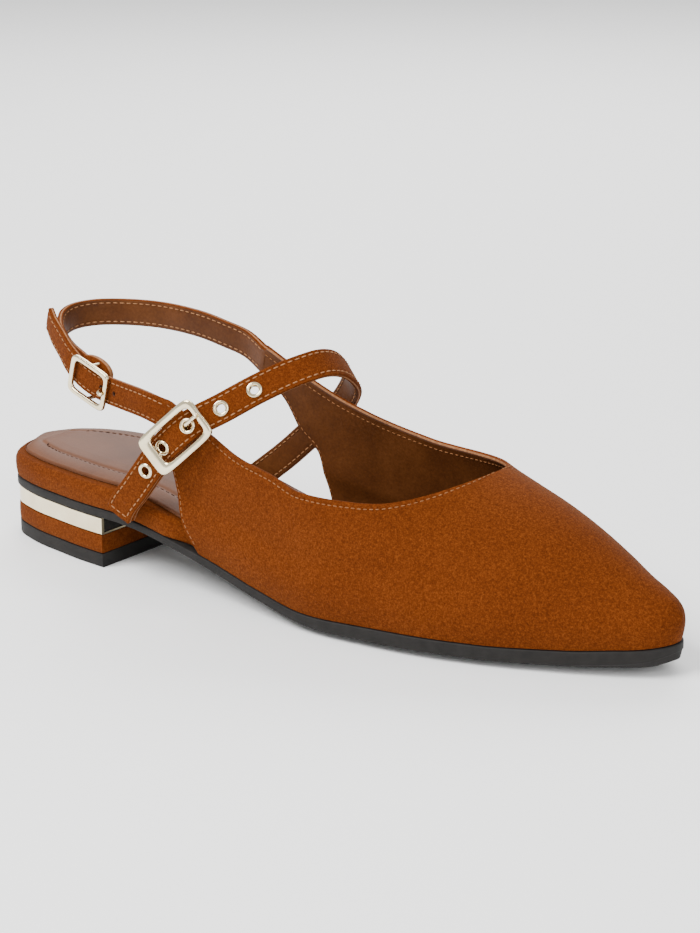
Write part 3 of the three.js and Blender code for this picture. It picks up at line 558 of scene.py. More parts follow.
slab(Build(), heel_shares, level(0), level(LIFT_HEIGHT), -HEEL_INSET, 0.5, 0.25, open_end=True).make(
    "heel_lift_dressed", [RUBBER], "sole_rubber", ["heel_lift"])
slab(Build(), heel_shares, level(block_floor), level(block_floor + BLOCK_HEIGHT), -HEEL_INSET, 0.35, 0.35,
     open_end=True, belly=0.12).make("heel_block_dressed", [TAN], "suede", ["heel_block"])
slab(Build(), heel_shares, level(band_floor_height + BAND_FLOOR + JOINT), level(band_top),
     -HEEL_INSET - BAND_WALL - JOINT, 0.1, 0.1, open_end=True).make(
    "heel_core_dressed", [CORE], "sole_rubber", ["heel_core"])

# Gold band: a bright wall round the heel on a thin floor
route = [("near", s) for s in heel_shares[::-1]] + [("far", s) for s in heel_shares[1:]]
bevel = 0.22
wall_ring = [(bevel, 0), (0, bevel), (0, BAND_HEIGHT / 2), (0, BAND_HEIGHT - bevel), (bevel, BAND_HEIGHT),
             (BAND_WALL - bevel, BAND_HEIGHT), (BAND_WALL, BAND_HEIGHT - bevel), (BAND_WALL, bevel),
             (BAND_WALL - bevel, 0)]
wall = np.array([[[*(float(v) for v in edge(s, side, -HEEL_INSET - depth)), band_floor_height + up]
                  for depth, up in wall_ring] for side, s in route])
band = Build().grid(wall, 0, close_columns=True)
band.cap(wall[0]).cap(wall[-1])
slab(band, heel_shares, level(band_floor_height), level(band_floor_height + BAND_FLOOR),
     -HEEL_INSET - BAND_WALL / 2, 0.1, 0.1, open_end=True)
band.make("heel_band_dressed", [GOLD], "gold_metal", ["heel_band"])


def outsole_low(share, t):
    lift = lift_share(share) * SOLE_EDGE_LIFT * max(0, (abs(t) - 0.6) / 0.4) ** 2
    return sole_under(share) + lift


slab(Build(), stations(150), outsole_low, lambda share, t: sole_top(share), 0.0, 0.3, 0.5, across=40).make(
    "outsole_dressed", [RUBBER], "sole_rubber", ["outsole"])

board_shares = stations(150)
wing_start, wing_stop = REAR_NEAR["share"][[0, 3]]
wing_in = np.clip((board_shares - wing_start) / (wing_stop - wing_start), 0, 1)
wing_in = wing_in**2 * (3 - 2 * wing_in)
board_offset = -wing_in * (UPPER_INSET + UPPER_WALL + 2 * JOINT)
slab(Build(), board_shares, lambda share, t: sole_top(share) + JOINT, lambda share, t: board_top(share),
     board_offset, 0.5, 1.6, across=24, arc=7, belly=BOARD_SWELL).make(
    "footbed_board_dressed", [TAN], "suede", ["footbed_board"])


# Padded insole sock, pressed in along its stitched margin
SOCK_MARGIN = 7.0
SOCK_PAD, SOCK_GROOVE, SOCK_PAD_EDGE = 0.35, 0.9, 6


def sock_high(share, t):
    rim = 1 - np.abs(t) ** 6 * SOCK_CROWN / SOCK_THICKNESS
    near, far = edge(share, "near", -SOCK_INSET), edge(share, "far", -SOCK_INSET)
    half = np.maximum(np.abs(far[1] - near[1]) / 2, 0.1)
    from_side = (1 - abs(t)) * half
    x = near[0]
    from_end = np.minimum(x + HEEL_BACK - SOCK_INSET, SOLE_LENGTH - HEEL_BACK - SOCK_INSET - x)
    distance = np.minimum(from_side, np.maximum(from_end, 0) * 1.3)
    groove = SOCK_PAD * np.exp(-((distance - SOCK_MARGIN) / SOCK_GROOVE) ** 2)
    pad = SOCK_PAD * np.clip((distance - SOCK_MARGIN) / SOCK_PAD_EDGE, 0, 1)
    return board_top(share) + JOINT + SOCK_THICKNESS * rim - groove + pad


sock = slab(Build(), stations(170), lambda share, t: board_top(share) + JOINT, sock_high, -SOCK_INSET,
            0.8, 1.0, across=84, arc=5).make("insole_sock_dressed", [SOCK], "sock_leather", ["insole_sock"])

sock_line = []
for side in ("near", "far"):
    shares = stations(200, 0.034, 0.44)
    x, y = edge(shares, side, -SOCK_INSET - SOCK_MARGIN)
    keep = x > -HEEL_BACK + SOCK_INSET + SOCK_MARGIN * 0.72
    near, far = edge(shares, "near", -SOCK_INSET), edge(shares, "far", -SOCK_INSET)
    t = 2 * (y - near[1]) / (far[1] - near[1]) - 1
    z = np.array([float(sock_high(np.array(s), v)) for s, v in zip(shares, t)])
    sock_line.append(np.stack([x, y, z + 0.05], -1)[keep])
sock_line = np.vstack([sock_line[0][::-1], sock_line[1]])
stitches("sock_stitches", [(sock_line, np.tile([0, 0, 1.0], (len(sock_line), 1)))], SOCK_THREAD,
         pitch=2.5, length=1.7, width=0.25, height=0.24)


# Upper

TOP_LEAD = 0.03


def upper_runs(u, side):
    """Lower and upper place of each run of one side, as (share, turn) pairs."""
    rear = REAR_NEAR if side == "near" else REAR_FAR
    count = len(rear["share"])
    knots = np.arange(count) / (count - 1)
    corner = rear["share"][-1]
    heights = rear["height"] * THROAT_HEIGHT
    heights[-1] = sole_top(corner) + JOINT
    edge_at = smooth({"at": knots, "v": rear["share"]}, "v")
    edge_height = smooth({"at": knots, "v": heights}, "v")
    start, shoulder = TOPLINE["at"][0], corner + TOP_LEAD

    def top(share):
        under = turn_of(share, topline[side](share) * THROAT_HEIGHT)
        return np.where(share >= THROAT_SHARE - 1e-9, 1.0, under)

    t = np.clip(u / REAR_RUNS, 0, 1)
    low_share, low_turn = edge_at(t), turn_of(edge_at(t), edge_height(t))
    high_share = start + (shoulder - start) * t
    k = np.clip((u - REAR_RUNS) / SIDE_RUNS, 0, 1)
    mid = corner + (THROAT_SHARE - corner) * k
    lead = TOP_LEAD * (1 - k)
    toe = np.clip((u - REAR_RUNS - SIDE_RUNS) / TOE_RUNS, 0, 1)
    front = THROAT_SHARE + (1 - THROAT_SHARE) * np.sin(toe * np.pi / 2)
    in_rear, in_toe = u < REAR_RUNS, u > REAR_RUNS + SIDE_RUNS
    low_share = np.where(in_rear, low_share, np.where(in_toe, front, mid))
    low_turn = np.where(in_rear, low_turn, 0)
    high_share = np.where(in_rear, high_share, np.where(in_toe, front, mid + lead))
    return low_share, low_turn, high_share, top(high_share)


def upper_grid(side, u, rows, offset):
    low_share, low_turn, high_share, high_turn = (v[:, None] for v in upper_runs(u, side))
    share = low_share + (high_share - low_share) * rows
    turn = low_turn + (high_turn - low_turn) * rows
    return last_point(share, turn if side == "near" else 2 - turn, offset)


def grid_normals(points, inside):
    normal = unit(np.cross(np.gradient(points, axis=0), np.gradient(points, axis=1)))
    flip = np.sign(np.sum(normal * (points - inside), axis=-1).mean())
    return normal * flip


def arc_from_end(points, axis):
    """Distance along an axis of a grid from its last line of points."""
    points = np.moveaxis(points, axis, 0)
    gaps = np.linalg.norm(np.diff(points, axis=0), axis=-1)
    back = np.concatenate([np.cumsum(gaps[::-1], axis=0)[::-1], np.zeros((1, points.shape[1]))])
    return np.moveaxis(back, 0, axis)


def line_at(points, normals, distance, depth):
    """A line across the rows of a grid at a distance from each row's end."""
    line, facing = [], []
    for row, normal, along in zip(points, normals, distance):
        order = np.argsort(along)
        line.append([np.interp(depth, along[order], row[order, k]) for k in range(3)])
        facing.append([np.interp(depth, along[order], normal[order, k]) for k in range(3)])
    return np.array(line), unit(np.array(facing))


u_rear = np.linspace(0, REAR_RUNS, 33) ** 1.25 / REAR_RUNS**0.25
u_side = np.linspace(REAR_RUNS, REAR_RUNS + SIDE_RUNS, 86)
u_toe = np.linspace(REAR_RUNS + SIDE_RUNS, REAR_RUNS + SIDE_RUNS + TOE_RUNS, 72)
u_all = np.concatenate([u_rear, u_side[1:], u_toe[1:]])
throat_index = len(u_rear) + len(u_side) - 2
rows = 1 - np.linspace(1, 0, 46) ** 1.5
rear_index = len(u_rear) - 1
STITCH_IN, REAR_STITCH_IN = 1.8, 1.5
PRESS_DEPTH, PRESS_WIDTH, EDGE_BULGE = 0.2, 0.4, 0.3
TOP_EASE, EDGE_EASE = 6, 3
upper = Build()
upper_lines, upper_lines_inside = [], []
EDGE_SKIN = np.array([0, 0, 0, 2, 2, 3])


def outward(line, normals, behind):
    """Directions across an edge line, away from the points behind it."""
    across = unit(np.cross(np.gradient(line, axis=0), normals))
    return across * np.sign(np.sum(across * (line - behind), axis=-1, keepdims=True))


def arc_from_start(points, axis):
    return np.flip(arc_from_end(np.flip(points, axis), axis), axis)


for side in ("near", "far"):
    outer = upper_grid(side, u_all, rows, 0)
    inner = upper_grid(side, u_all, rows, -UPPER_WALL)
    normals = grid_normals(outer, inner)
    from_top, from_low = arc_from_end(outer, 1), arc_from_start(outer, 1)
    place = np.arange(len(u_all))
    open_top = np.clip((throat_index - place) / TOP_EASE, 0, 1)[:, None]
    open_low = np.clip((rear_index - place) / EDGE_EASE, 0, 1)[:, None]
    press = np.exp(-((from_top - STITCH_IN) / PRESS_WIDTH) ** 2) * open_top
    press = PRESS_DEPTH * np.maximum(
        press, np.exp(-((from_low - REAR_STITCH_IN) / PRESS_WIDTH) ** 2) * open_low)
    dressed = outer - normals * press[..., None]
    upper.grid(dressed, 0)
    upper.grid(inner, 1)
    upper.grid(np.stack([dressed[0], inner[0]], 1), 0)
    upper.grid(np.stack([dressed[rear_index:, 0], inner[rear_index:, 0]], 1), 0)
    edges = ((slice(0, throat_index + 1), -1, -4, np.minimum(place[: throat_index + 1] / EDGE_EASE, 1)),
             (slice(0, rear_index + 1), 0, 3,
              np.minimum((rear_index - place[: rear_index + 1]) / EDGE_EASE, 1)))
    for span, row, behind, ease in edges:
        away = outward(dressed[span, row], normals[span, row], dressed[span, behind])
        upper.grid(strip(dressed[span, row], inner[span, row], away, EDGE_BULGE * ease), EDGE_SKIN[None, :])
    inner_top, inner_low = arc_from_end(inner, 1), arc_from_start(inner, 1)
    open_edge, rear_edge = slice(0, throat_index + 1), slice(0, rear_index)
    upper_lines += [line_at(dressed[open_edge], normals[open_edge], from_top[open_edge], STITCH_IN),
                    line_at(dressed[rear_edge], normals[rear_edge], from_low[rear_edge], REAR_STITCH_IN)]
    upper_lines_inside += [
        line_at(inner[open_edge], -normals[open_edge], inner_top[open_edge], STITCH_IN),
        line_at(inner[rear_edge], -normals[rear_edge], inner_low[rear_edge], REAR_STITCH_IN)]
upper.make("upper_dressed", SKIN, "suede", ["upper"], sharp=50)
stitches("upper_stitches", upper_lines, TOP_THREAD, pitch=2.0, length=1.35, width=0.22, height=0.24)
stitches("upper_lining_stitches", upper_lines_inside, TOP_THREAD, pitch=2.0, length=1.35, width=0.2,
         height=0.2)


# Straps

class Run:
    """A strap's run, the same curve as in the solids: a place at each share of its length."""

    def __init__(self, points, width_at):
        points = np.asarray(points, float)
        ends = np.vstack([2 * points[0] - points[1], points, 2 * points[-1] - points[-2]])
        samples = []
        for i in range(len(points) - 1):
            p0, p1, p2, p3 = ends[i:i + 4]
            d0, d1, d2 = (max(np.sum((b - a) ** 2) ** 0.25, 1e-4) for a, b in ((p0, p1), (p1, p2), (p2, p3)))
            t1 = ((p1 - p0) / d0 - (p2 - p0) / (d0 + d1) + (p2 - p1) / d1) * d1
            t2 = ((p2 - p1) / d1 - (p3 - p1) / (d1 + d2) + (p3 - p2) / d2) * d1
            t = np.linspace(0, 1, 40, endpoint=i == len(points) - 2)[:, None]
            samples.append(p1 + t1 * t + (-3 * p1 + 3 * p2 - 2 * t1 - t2) * t**2
                           + (2 * p1 - 2 * p2 + t1 + t2) * t**3)
        self.points = np.vstack(samples)
        gaps = np.linalg.norm(np.diff(self.points, axis=0), axis=1)
        self.s = np.concatenate([[0], np.cumsum(gaps)])
        self.length = self.s[-1]
        self.width_at = width_at

    def at(self, share):
        """Centre, forward, width and out at shares of the length."""
        share = np.atleast_1d(np.asarray(share, float))

        def place(s):
            return np.stack([np.interp(s, self.s, self.points[:, k]) for k in range(3)], -1)

        s = share * self.length
        forward = unit(place(np.minimum(s + 0.3, self.length)) - place(np.maximum(s - 0.3, 0)))
        width = self.width_at(share, forward)
        width = unit(width - forward * np.sum(width * forward, -1, keepdims=True))
        return place(s), forward, width, np.cross(forward, width)


def one(places):
    return tuple(v[0] for v in places)


def beside(place, u, v, n):
    centre, forward, width, out = place
    return centre + forward * u + width * v + out * n


def moved(place, n):
    return (beside(place, 0, 0, n), *place[1:])


def on_face(place, thickness):
    return moved(place, STRAP_WALL / 2 + JOINT + thickness / 2)


def under_face(place):
    return moved(place, -STRAP_WALL / 2 - JOINT - FOLD_RADIUS)


FOLD_RADIUS = PIVOT_RADIUS + PIVOT_GAP + FOLD_WALL


def sling_points(columns):
    return np.stack([columns["along"] * SLING_REACH, columns["side"] * SLING_SPAN,
                     columns["height"] * SLING_HEIGHT], -1)


def wing_end(side):
    """Four corners of a wing's rear end: outer low, outer high, inner high, inner low."""
    start = np.array([0.0])
    outer = upper_grid(side, start, np.array([0.0, 1.0]), 0)[0]
    inner = upper_grid(side, start, np.array([0.0, 1.0]), -UPPER_WALL)[0]
    back = np.array([-JOINT, 0, 0])
    return np.array([outer[0], outer[1], inner[1], inner[0]]) + back


UP = np.array([0, 0, 1.0])
near_end, far_end = wing_end("near"), wing_end("far")
tail_run = Run([*sling_points(TAIL), near_end.mean(0)], lambda share, forward: np.tile(UP, (len(share), 1)))
rear_place = on_face(one(tail_run.at(REAR_SHARE)), REAR_THICKNESS)
rear_pivot = under_face(one(tail_run.at(REAR_SHARE)))
rear_hole = one(tail_run.at(REAR_SHARE + REAR_REACH / tail_run.length))
sling_run = Run([far_end.mean(0), *sling_points(SLING), rear_pivot[0]],
                lambda share, forward: np.tile(UP, (len(share), 1)))

lean = math.radians(INSTEP_LEAN)
instep_up = np.array([math.cos(lean), 0, math.sin(lean)])
spin = Matrix.Rotation(-math.radians(INSTEP_TURN), 3, Vector(instep_up))
instep_side = np.array(spin @ Vector((0, 1, 0)))
instep_width = np.array(spin @ Vector((-math.sin(lean), 0, math.cos(lean))))
instep_points = (np.outer(INSTEP_START + INSTEP["rise"] * INSTEP_RISE, instep_up)
                 + np.outer(INSTEP["across"] * INSTEP_SPAN, instep_side)
                 + np.outer(INSTEP["aside"] * STRAP_WIDTH - INSTEP_BACK, instep_width))
twist_at = smooth({"at": np.arange(len(INSTEP["twist"]), dtype=float), "v": INSTEP["twist"]}, "v")


def instep_across(share, forward):
    out = np.cross(forward, instep_width)
    twist = np.radians(twist_at(share * (len(INSTEP["twist"]) - 1)))[:, None]
    return instep_width * np.cos(twist) + out * np.sin(twist)


instep_run = Run(instep_points, instep_across)

CROWN, GROOVE_DEPTH, GROOVE_WIDTH = 0.10, 0.16, 0.07
FACE = np.linspace(-0.93, 0.93, 19)
EDGE = [(0.975, 0.93), (1.0, 0.6), (1.0, 0.1), (1.0, -0.45), (0.985, -0.85)]


def band_columns(stitch_share):
    """Columns round a strap's section: across, through, lift off the face and material."""
    groove = [GROOVE_DEPTH * math.exp(-((abs(v) - stitch_share) / GROOVE_WIDTH) ** 2) for v in FACE]
    rise = [CROWN * (1 - v * v) - g for v, g in zip(FACE, groove)]
    columns = [(v, 1, lift, 0) for v, lift in zip(FACE, rise)]
    columns += [(v, n, 0, 2 if n == 0.1 else 0) for v, n in EDGE]
    columns += [(v, -1, -lift * 0.6, 1) for v, lift in zip(FACE[::-1], rise[::-1])]
    columns += [(-v, n, 0, 2 if n == -0.45 else 0) for v, n in reversed(EDGE)]
    return columns


def band_corners(run, shares, width, sunk=0.0):
    places = run.at(shares)
    half = width / 2

    def corner(v, n):
        centre, _, across, out = places
        return centre + across * v * half + out * (n * STRAP_WALL / 2 - sunk)

    return np.stack([corner(-1, 1), corner(1, 1), corner(1, -1), corner(-1, -1)], 1), places


def band(build, corners, outs, stitch_share, caps=(True, True)):
    columns = band_columns(stitch_share)
    rings = []
    for v, n, lift, _ in columns:
        a, b = (v + 1) / 2, (n + 1) / 2
        low = corners[:, 3] * (1 - b) + corners[:, 0] * b
        high = corners[:, 2] * (1 - b) + corners[:, 1] * b
        rings.append(low * (1 - a) + high * a + outs * lift)
    points = np.stack(rings, 1)
    material = np.array([c[3] for c in columns])
    build.grid(points, material[None, :], close_columns=True)
    for use, ring in zip(caps, (points[0], points[-1])):
        if use:
            build.cap(ring, 3)
    return build


def band_stitches(run, sewn, width, inside=True):
    """Lines of stitches along both edges of a strap, on its face and on its lining."""
    low, high = sewn
    count = int((high - low) * run.length / STITCH_SAMPLE)
    centre, _, across, out = run.at(np.linspace(low, high, count))
    face = STRAP_WALL / 2 + THREAD_LIFT
    lines = []
    for side in (-1, 1):
        v = side * (width / 2 - STRAP_STITCH)
        lines.append((centre + across * v + out * face, out))
        if inside:
            lines.append((centre + across * v - out * face, -out))
    return lines


def revolve(build, place, profile, sides, axis="width"):
    """A closed profile of (radius, along) pairs turned about an axis of a place."""
    centre, forward, width, out = place
    line = width if axis == "width" else out
    first, second = (forward, out) if axis == "width" else (forward, width)
    angles = np.linspace(0, 2 * math.pi, sides, endpoint=False)
    points = np.array([[centre + (first * math.cos(a) + second * math.sin(a)) * r + line * h
                        for r, h in profile] for a in angles])
    return build.grid(points, 0, close_columns=True, close_rows=True)


def tube(build, points, radii, sides=14):
    """A round bar through points, closed at both ends."""
    points = np.asarray(points, float)
    radii = np.broadcast_to(radii, (len(points),))
    forward = unit(np.gradient(points, axis=0))
    side = unit(np.cross(forward[0], [0.3, 0.5, 0.8]))
    rings = []
    for p, f, r in zip(points, forward, radii):
        side = unit(side - f * np.dot(side, f))
        other = np.cross(f, side)
        a = np.linspace(0, 2 * np.pi, sides, endpoint=False)[:, None]
        rings.append(p + (side * np.cos(a) + other * np.sin(a)) * r)
    rings = np.array(rings)
    build.grid(rings, 0, close_columns=True).cap(rings[0]).cap(rings[-1])


def curve_through(points, count):
    run = Run(points, None)
    s = np.linspace(0, run.length, count)
    return np.stack([np.interp(s, run.s, run.points[:, k]) for k in range(3)], -1)


def nose(build, place, width):
    """Two halves of a strap's fold round a pivot, with the prong's slot between them."""
    inner, outer = PIVOT_RADIUS + PIVOT_GAP, FOLD_RADIUS
    for side in (-1, 1):
        a, b = side * FOLD_SLOT / 2, side * width / 2
        revolve(build, place, [(inner, a), (outer, a), (outer, b), (inner, b)], 36)


LEAF_ROUND, LEAF_NARROW = 0.3, 0.95


def leaf(build, place, outline, low, high):
    """A flat rounded layer of leather with the given outline in a place's plane."""
    plan = curve_through([(u, v, 0) for u, v in outline], 70)
    middle = plan.mean(0)
    rings = []
    for n, share in ((low, LEAF_NARROW), (low + LEAF_ROUND, 1), (high - LEAF_ROUND, 1), (high, LEAF_NARROW)):
        ring = middle + (plan - middle) * share
        rings.append([beside(place, u, v, n) for u, v, _ in ring])
    rings = np.array(rings)
    build.grid(rings, np.array([1, 2, 0])[:, None], close_columns=True)
    build.cap(rings[0], 1).cap(rings[-1], 0)


FRAME_STEPS, BAR_SIDES = 128, 16
FRAME_CORNER, BAR_ROUND = 0.29, 0.62


def ring_frame(build, place, length, width, front, rear, thickness):
    """A flat frame with round corners and rounded bars."""
    centre_shift = (rear - front) / 2
    rings = []
    for share in np.arange(FRAME_STEPS) / FRAME_STEPS:
        angle = 2 * math.pi * share
        c, s = math.cos(angle), math.sin(angle)
        bend = [math.copysign(abs(v) ** FRAME_CORNER, v) for v in (c, s)]
        outer = np.array([bend[0] * length / 2, bend[1] * width / 2])
        inner = np.array([bend[0] * (length - front - rear) / 2 + centre_shift,
                          bend[1] * (width / 2 - front)])
        middle, half = (outer + inner) / 2, (outer - inner) / 2
        ring = []
        for phi in np.linspace(0, 2 * np.pi, BAR_SIDES, endpoint=False):
            a = math.copysign(abs(math.cos(phi)) ** BAR_ROUND, math.cos(phi))
            b = math.copysign(abs(math.sin(phi)) ** BAR_ROUND, math.sin(phi))
            plan = middle + half * a
            ring.append(beside(place, plan[0], plan[1], b * thickness / 2))
        rings.append(ring)
    build.grid(np.array(rings), 0, close_columns=True, close_rows=True)
    return build


def blended(end, corners, run, shares, reach, at_start):
    """Corners that ease from a wing's rear end into a strap's own section."""
    s = (shares if at_start else 1 - shares) * run.length
    k = np.clip(s / reach, 0, 1)
    k = (k * k * (3 - 2 * k))[:, None, None]
    drift = end.mean(0) - (corners[0] if at_start else corners[-1]).mean(0)
    shaped = end - end.mean(0) + corners.mean(1, keepdims=True) + drift * (1 - k)
    return shaped * (1 - k) + corners * k


STRAP_STITCH = 1.3
STITCH_SAMPLE = 1.5
THREAD_LIFT = 0.02
SLING_SEWN, TAIL_SEWN, INSTEP_SEWN = (0.008, 0.93), (0.03, 0.99), (0.012, 0.985)
LAP = np.array([2 * JOINT, 0, 0])
BACKING_LEAF = [(-10, 3.4), (-8, 5.4), (-4.5, 6.8), (-0.5, 7.3), (3, 6.7), (5.2, 5), (5.6, 2.5), (5.6, -2.5),
                (4.5, -4.2), (-4, -4.2), (-10, -3.4)]

# Heel strap and its buckled end
shares = np.linspace(0, 1, 220)
corners, places = band_corners(sling_run, shares, SLING_WIDTH)
corners = blended(far_end, corners, sling_run, shares, 14, True)
corners[0] += LAP
sling = Build()
band(sling, corners, places[3], 1 - STRAP_STITCH / (SLING_WIDTH / 2), caps=(False, True))
nose(sling, rear_pivot, SLING_WIDTH)
leaf(sling, rear_pivot, BACKING_LEAF, -1.0, 1.1)
sling.make("slingback_strap_dressed", SKIN, "suede", ["slingback_strap"], sharp=50)

SPARE_PITCH, SPARE_RADIUS = 6.5, 0.75
spare_hole = one(tail_run.at(REAR_SHARE + (REAR_REACH + SPARE_PITCH) / tail_run.length))
shares = np.linspace(0, 1, 150)
corners, places = band_corners(tail_run, shares, SLING_WIDTH)
corners = blended(near_end, corners, tail_run, shares, 10, False)
corners[-1] += LAP
tail = Build()
band(tail, corners, places[3], 1 - STRAP_STITCH / (SLING_WIDTH / 2), caps=(True, False))
drilled(tail.make("slingback_tail_dressed", SKIN, "suede", ["slingback_tail"], sharp=50),
        [(rear_hole, 2 * PRONG_RADIUS, 2 * STRAP_WALL), (spare_hole, SPARE_RADIUS, 2 * STRAP_WALL)], PAINT)
stitches("slingback_stitches", [
    *band_stitches(sling_run, SLING_SEWN, SLING_WIDTH),
    *band_stitches(tail_run, TAIL_SEWN, SLING_WIDTH, inside=False),
], THREAD, pitch=2.4, length=1.7, width=0.22, height=0.26)

# Instep strap and the short part that holds the main buckle
shares = np.linspace(0, 1, 300)
corners, places = band_corners(instep_run, shares, STRAP_WIDTH)
instep = Build()
band(instep, corners, places[3], 1 - STRAP_STITCH / (STRAP_WIDTH / 2))
eyelet_places = [one(instep_run.at((EYELET_START + index * EYELET_PITCH) / instep_run.length))
                 for index in range(EYELET_COUNT)]
drilled(instep.make("instep_strap_dressed", SKIN, "suede", ["instep_strap"], sharp=50),
        [(place, EYELET_TUBE + 0.05, 2 * STRAP_WALL) for place in eyelet_places], PAINT)

pivot_share = (EYELET_START + MAIN_EYELET * EYELET_PITCH - MAIN_REACH) / instep_run.length
main_place = on_face(one(instep_run.at(pivot_share)), MAIN_THICKNESS)
main_pivot = under_face(one(instep_run.at(pivot_share)))
shares = np.linspace(0, pivot_share, 70)
corners, places = band_corners(instep_run, shares, STRAP_WIDTH, STRAP_WALL + JOINT)
billet = Build()
band(billet, corners, places[3], 1 - STRAP_STITCH / (STRAP_WIDTH / 2))
nose(billet, main_pivot, STRAP_WIDTH)
billet.make("instep_billet_dressed", SKIN, "suede", ["instep_billet"], sharp=50)
instep_lines = band_stitches(instep_run, INSTEP_SEWN, STRAP_WIDTH)
end_place = one(instep_run.at(0.008))
half = STRAP_WIDTH / 2 - STRAP_STITCH
end_line = np.array([beside(end_place, 0.4, v, STRAP_WALL / 2 + THREAD_LIFT)
                     for v in np.linspace(-half, half, 12)])
instep_lines.append((end_line, np.tile(end_place[3], (12, 1))))
stitches("instep_stitches", instep_lines, THREAD, pitch=2.45, length=1.75, width=0.24, height=0.28)

# Metal
RIM_SINK, RIM_RISE, TUBE_SINK = 0.12, 0.75, 0.1
hole_radius = EYELET_HOLE / 2
seat = STRAP_WALL / 2 + JOINT / 2 - RIM_SINK
rim_middle, rim_half = (EYELET_OUTER / 2 + hole_radius) / 2, (EYELET_OUTER / 2 - hole_radius) / 2
eyelet_profile = [(rim_middle + rim_half * math.cos(phi), seat + RIM_RISE * math.sin(phi))
                  for phi in np.linspace(0, np.pi, 10)]
eyelet_profile += [(hole_radius, -seat), (EYELET_TUBE, -seat), (EYELET_TUBE, seat - TUBE_SINK)]
for index, place in enumerate(eyelet_places):
    revolve(Build(), place, eyelet_profile, 48, axis="out").make(
        f"eyelet_{index + 1}_dressed", [GOLD], "gold_metal", [f"eyelet_{index + 1}"], sharp=60)


def buckle(name, place, pivot, aside, length, width, front, rear, thickness, node):
    """A frame on the strap, and its pivot under the strap between two posts."""
    centred = (beside(place, 0, aside, 0), *place[1:])
    build = ring_frame(Build(), centred, length, width, front, rear, thickness)
    posts = [aside + side * (width - front) / 2 for side in (-1, 1)]
    for v in posts:
        tube(build, [beside(place, 0, v, 0), beside(pivot, 0, v, 0)], PIVOT_RADIUS)
    tube(build, [beside(pivot, 0, v, 0) for v in np.linspace(*posts, 12)], PIVOT_RADIUS)
    build.make(name, [GOLD], "gold_metal", [node], sharp=60)


PRONG_SWELL = 0.22


def prong(name, pivot, hole_place, place, reach, rim, length, front, thickness, node):
    """A prong on its pivot, up through the strap's hole and over the frame's front bar."""
    build = Build()
    inner, half_eye = PIVOT_RADIUS + PIVOT_GAP, FOLD_SLOT / 2 - JOINT
    revolve(build, pivot, [(inner, -half_eye), (FOLD_RADIUS, -half_eye), (FOLD_RADIUS, half_eye),
                           (inner, half_eye)], 32)
    under = -STRAP_WALL / 2 - 2.5 * JOINT - PRONG_RADIUS
    over = thickness / 2 + JOINT + PRONG_RADIUS
    path = curve_through([
        beside(pivot, inner + FOLD_WALL / 2, 0, 0),
        beside(hole_place, -2.4 * PRONG_RADIUS, 0, under),
        beside(hole_place, -0.8 * PRONG_RADIUS, 0, under * 0.6),
        beside(hole_place, 0, 0, 0),
        beside(hole_place, 0.7 * PRONG_RADIUS, 0, STRAP_WALL / 2 + JOINT + rim),
        beside(place, reach + 2.7 * PRONG_RADIUS, 0, over * 0.85),
        beside(place, reach + 4.7 * PRONG_RADIUS, 0, over),
        beside(place, (length - front * 0.4) / 2, 0, over),
    ], 48)
    s = np.linspace(0, 1, 48)
    radii = PRONG_RADIUS * (1 + PRONG_SWELL * np.clip((s - 0.55) / 0.15, 0, 1))
    tube(build, path, radii * np.where(s > 0.97, np.sqrt(np.clip((1 - s) / 0.03, 0.05, 1)), 1))
    build.make(name, [GOLD], "gold_metal", [node], sharp=60)


REAR_DRESSED_BAR = REAR_BAR + 0.3
buckle("main_buckle_dressed", main_place, main_pivot, MAIN_ASIDE, MAIN_LENGTH, MAIN_WIDTH, MAIN_BAR,
       MAIN_WIDE_BAR, MAIN_THICKNESS, "main_buckle")
prong("main_prong_dressed", main_pivot, eyelet_places[MAIN_EYELET], main_place, MAIN_REACH, EYELET_RIM,
      MAIN_LENGTH, MAIN_BAR, MAIN_THICKNESS, "main_prong")
buckle("rear_buckle_dressed", rear_place, rear_pivot, 0, REAR_LENGTH, REAR_WIDTH, REAR_DRESSED_BAR,
       REAR_DRESSED_BAR, REAR_THICKNESS, "rear_buckle")
prong("rear_prong_dressed", rear_pivot, rear_hole, rear_place, REAR_REACH, 0, REAR_LENGTH, REAR_BAR,
      REAR_THICKNESS, "rear_prong")


# Floor, light and camera

def pale(name, colour, roughness):
    material, tree, shader = new_material(name)
    tone = noise(tree, 3, 2, 0.5)
    spread = [(0.0, tuple(c * 0.985 for c in colour)), (1.0, colour)]
    tree.links.new(ramp(tree, tone, spread), shader.inputs["Base Color"])
    shader.inputs["Roughness"].default_value = roughness
    return material


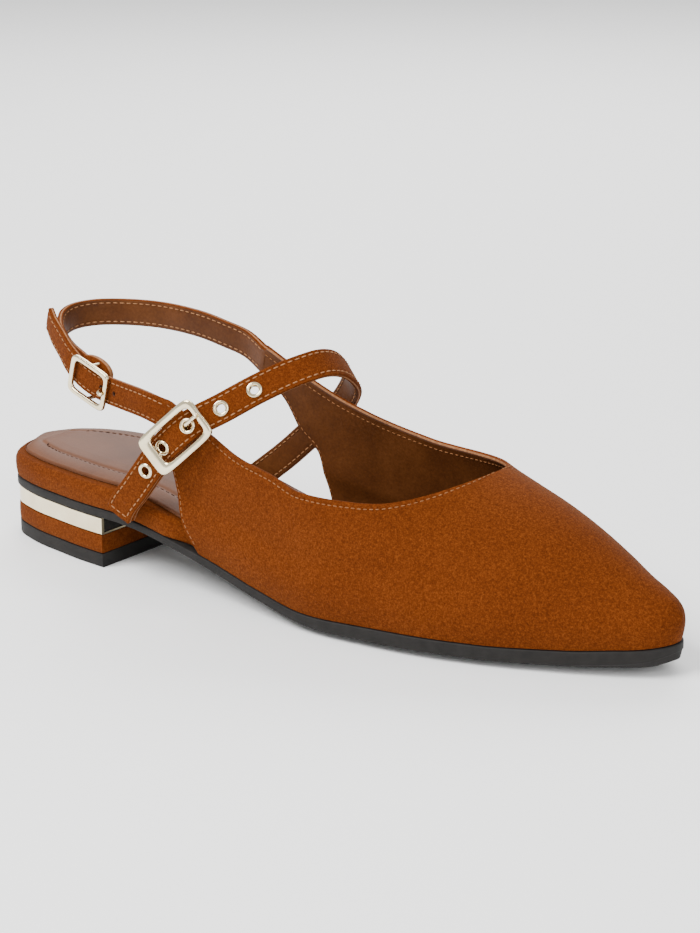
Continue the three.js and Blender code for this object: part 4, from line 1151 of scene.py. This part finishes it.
floor_mesh = bpy.data.meshes.new("floor")
reach = 6.0
floor_mesh.from_pydata([(-reach, -reach, 0), (reach, -reach, 0), (reach, reach, 0), (-reach, reach, 0)], [],
                       [(0, 1, 2, 3)])
floor_mesh.materials.append(pale("pale_floor", (0.93, 0.93, 0.925), 0.7))
floor = linked(bpy.data.objects.new("floor", floor_mesh))

TARGET = np.array([111.75, 5.65, 41.52])
AZIMUTH, ELEVATION, ROLL, DISTANCE = math.radians(37.95), math.radians(17.18), math.radians(-0.33), 900
back = np.array([math.sin(AZIMUTH) * math.cos(ELEVATION), -math.cos(AZIMUTH) * math.cos(ELEVATION),
                 math.sin(ELEVATION)])
right = unit(np.cross(-back, UP))
up = np.cross(right, -back)
right, up = (right * math.cos(ROLL) + up * math.sin(ROLL), -right * math.sin(ROLL) + up * math.cos(ROLL))
camera_data = bpy.data.cameras.new("photo_camera")
camera_data.sensor_width = 36
camera_data.lens = 107.76
camera_data.clip_start, camera_data.clip_end = 0.05, 50
camera = bpy.data.objects.new("photo_camera", camera_data)
position = (TARGET + back * DISTANCE) * MM
camera.matrix_world = Matrix([[right[i], up[i], back[i], position[i]] for i in range(3)] + [[0, 0, 0, 1]])
linked(camera)
bpy.context.scene.camera = camera


def softbox(name, place, aim, size, power):
    data = bpy.data.lights.new(name, "AREA")
    data.shape = "RECTANGLE"
    data.size, data.size_y = size
    data.energy = power
    light = bpy.data.objects.new(name, data)
    light.location = place
    light.rotation_euler = (Vector(aim) - Vector(place)).to_track_quat("-Z", "Y").to_euler()
    linked(light)


centre = (0.11, 0.0, 0.03)
softbox("key", (-0.25, -0.75, 1.05), centre, (0.8, 0.7), 30)
softbox("fill", (1.1, -0.5, 0.55), centre, (0.8, 0.8), 9)
softbox("back", (-0.4, 0.9, 0.8), centre, (1.0, 0.6), 14)

world = bpy.data.worlds.new("studio")
world.use_nodes = True
bpy.context.scene.world = world
set_inputs(world.node_tree.nodes["Background"], {"Color": (1, 1, 1, 1), "Strength": 0.85})
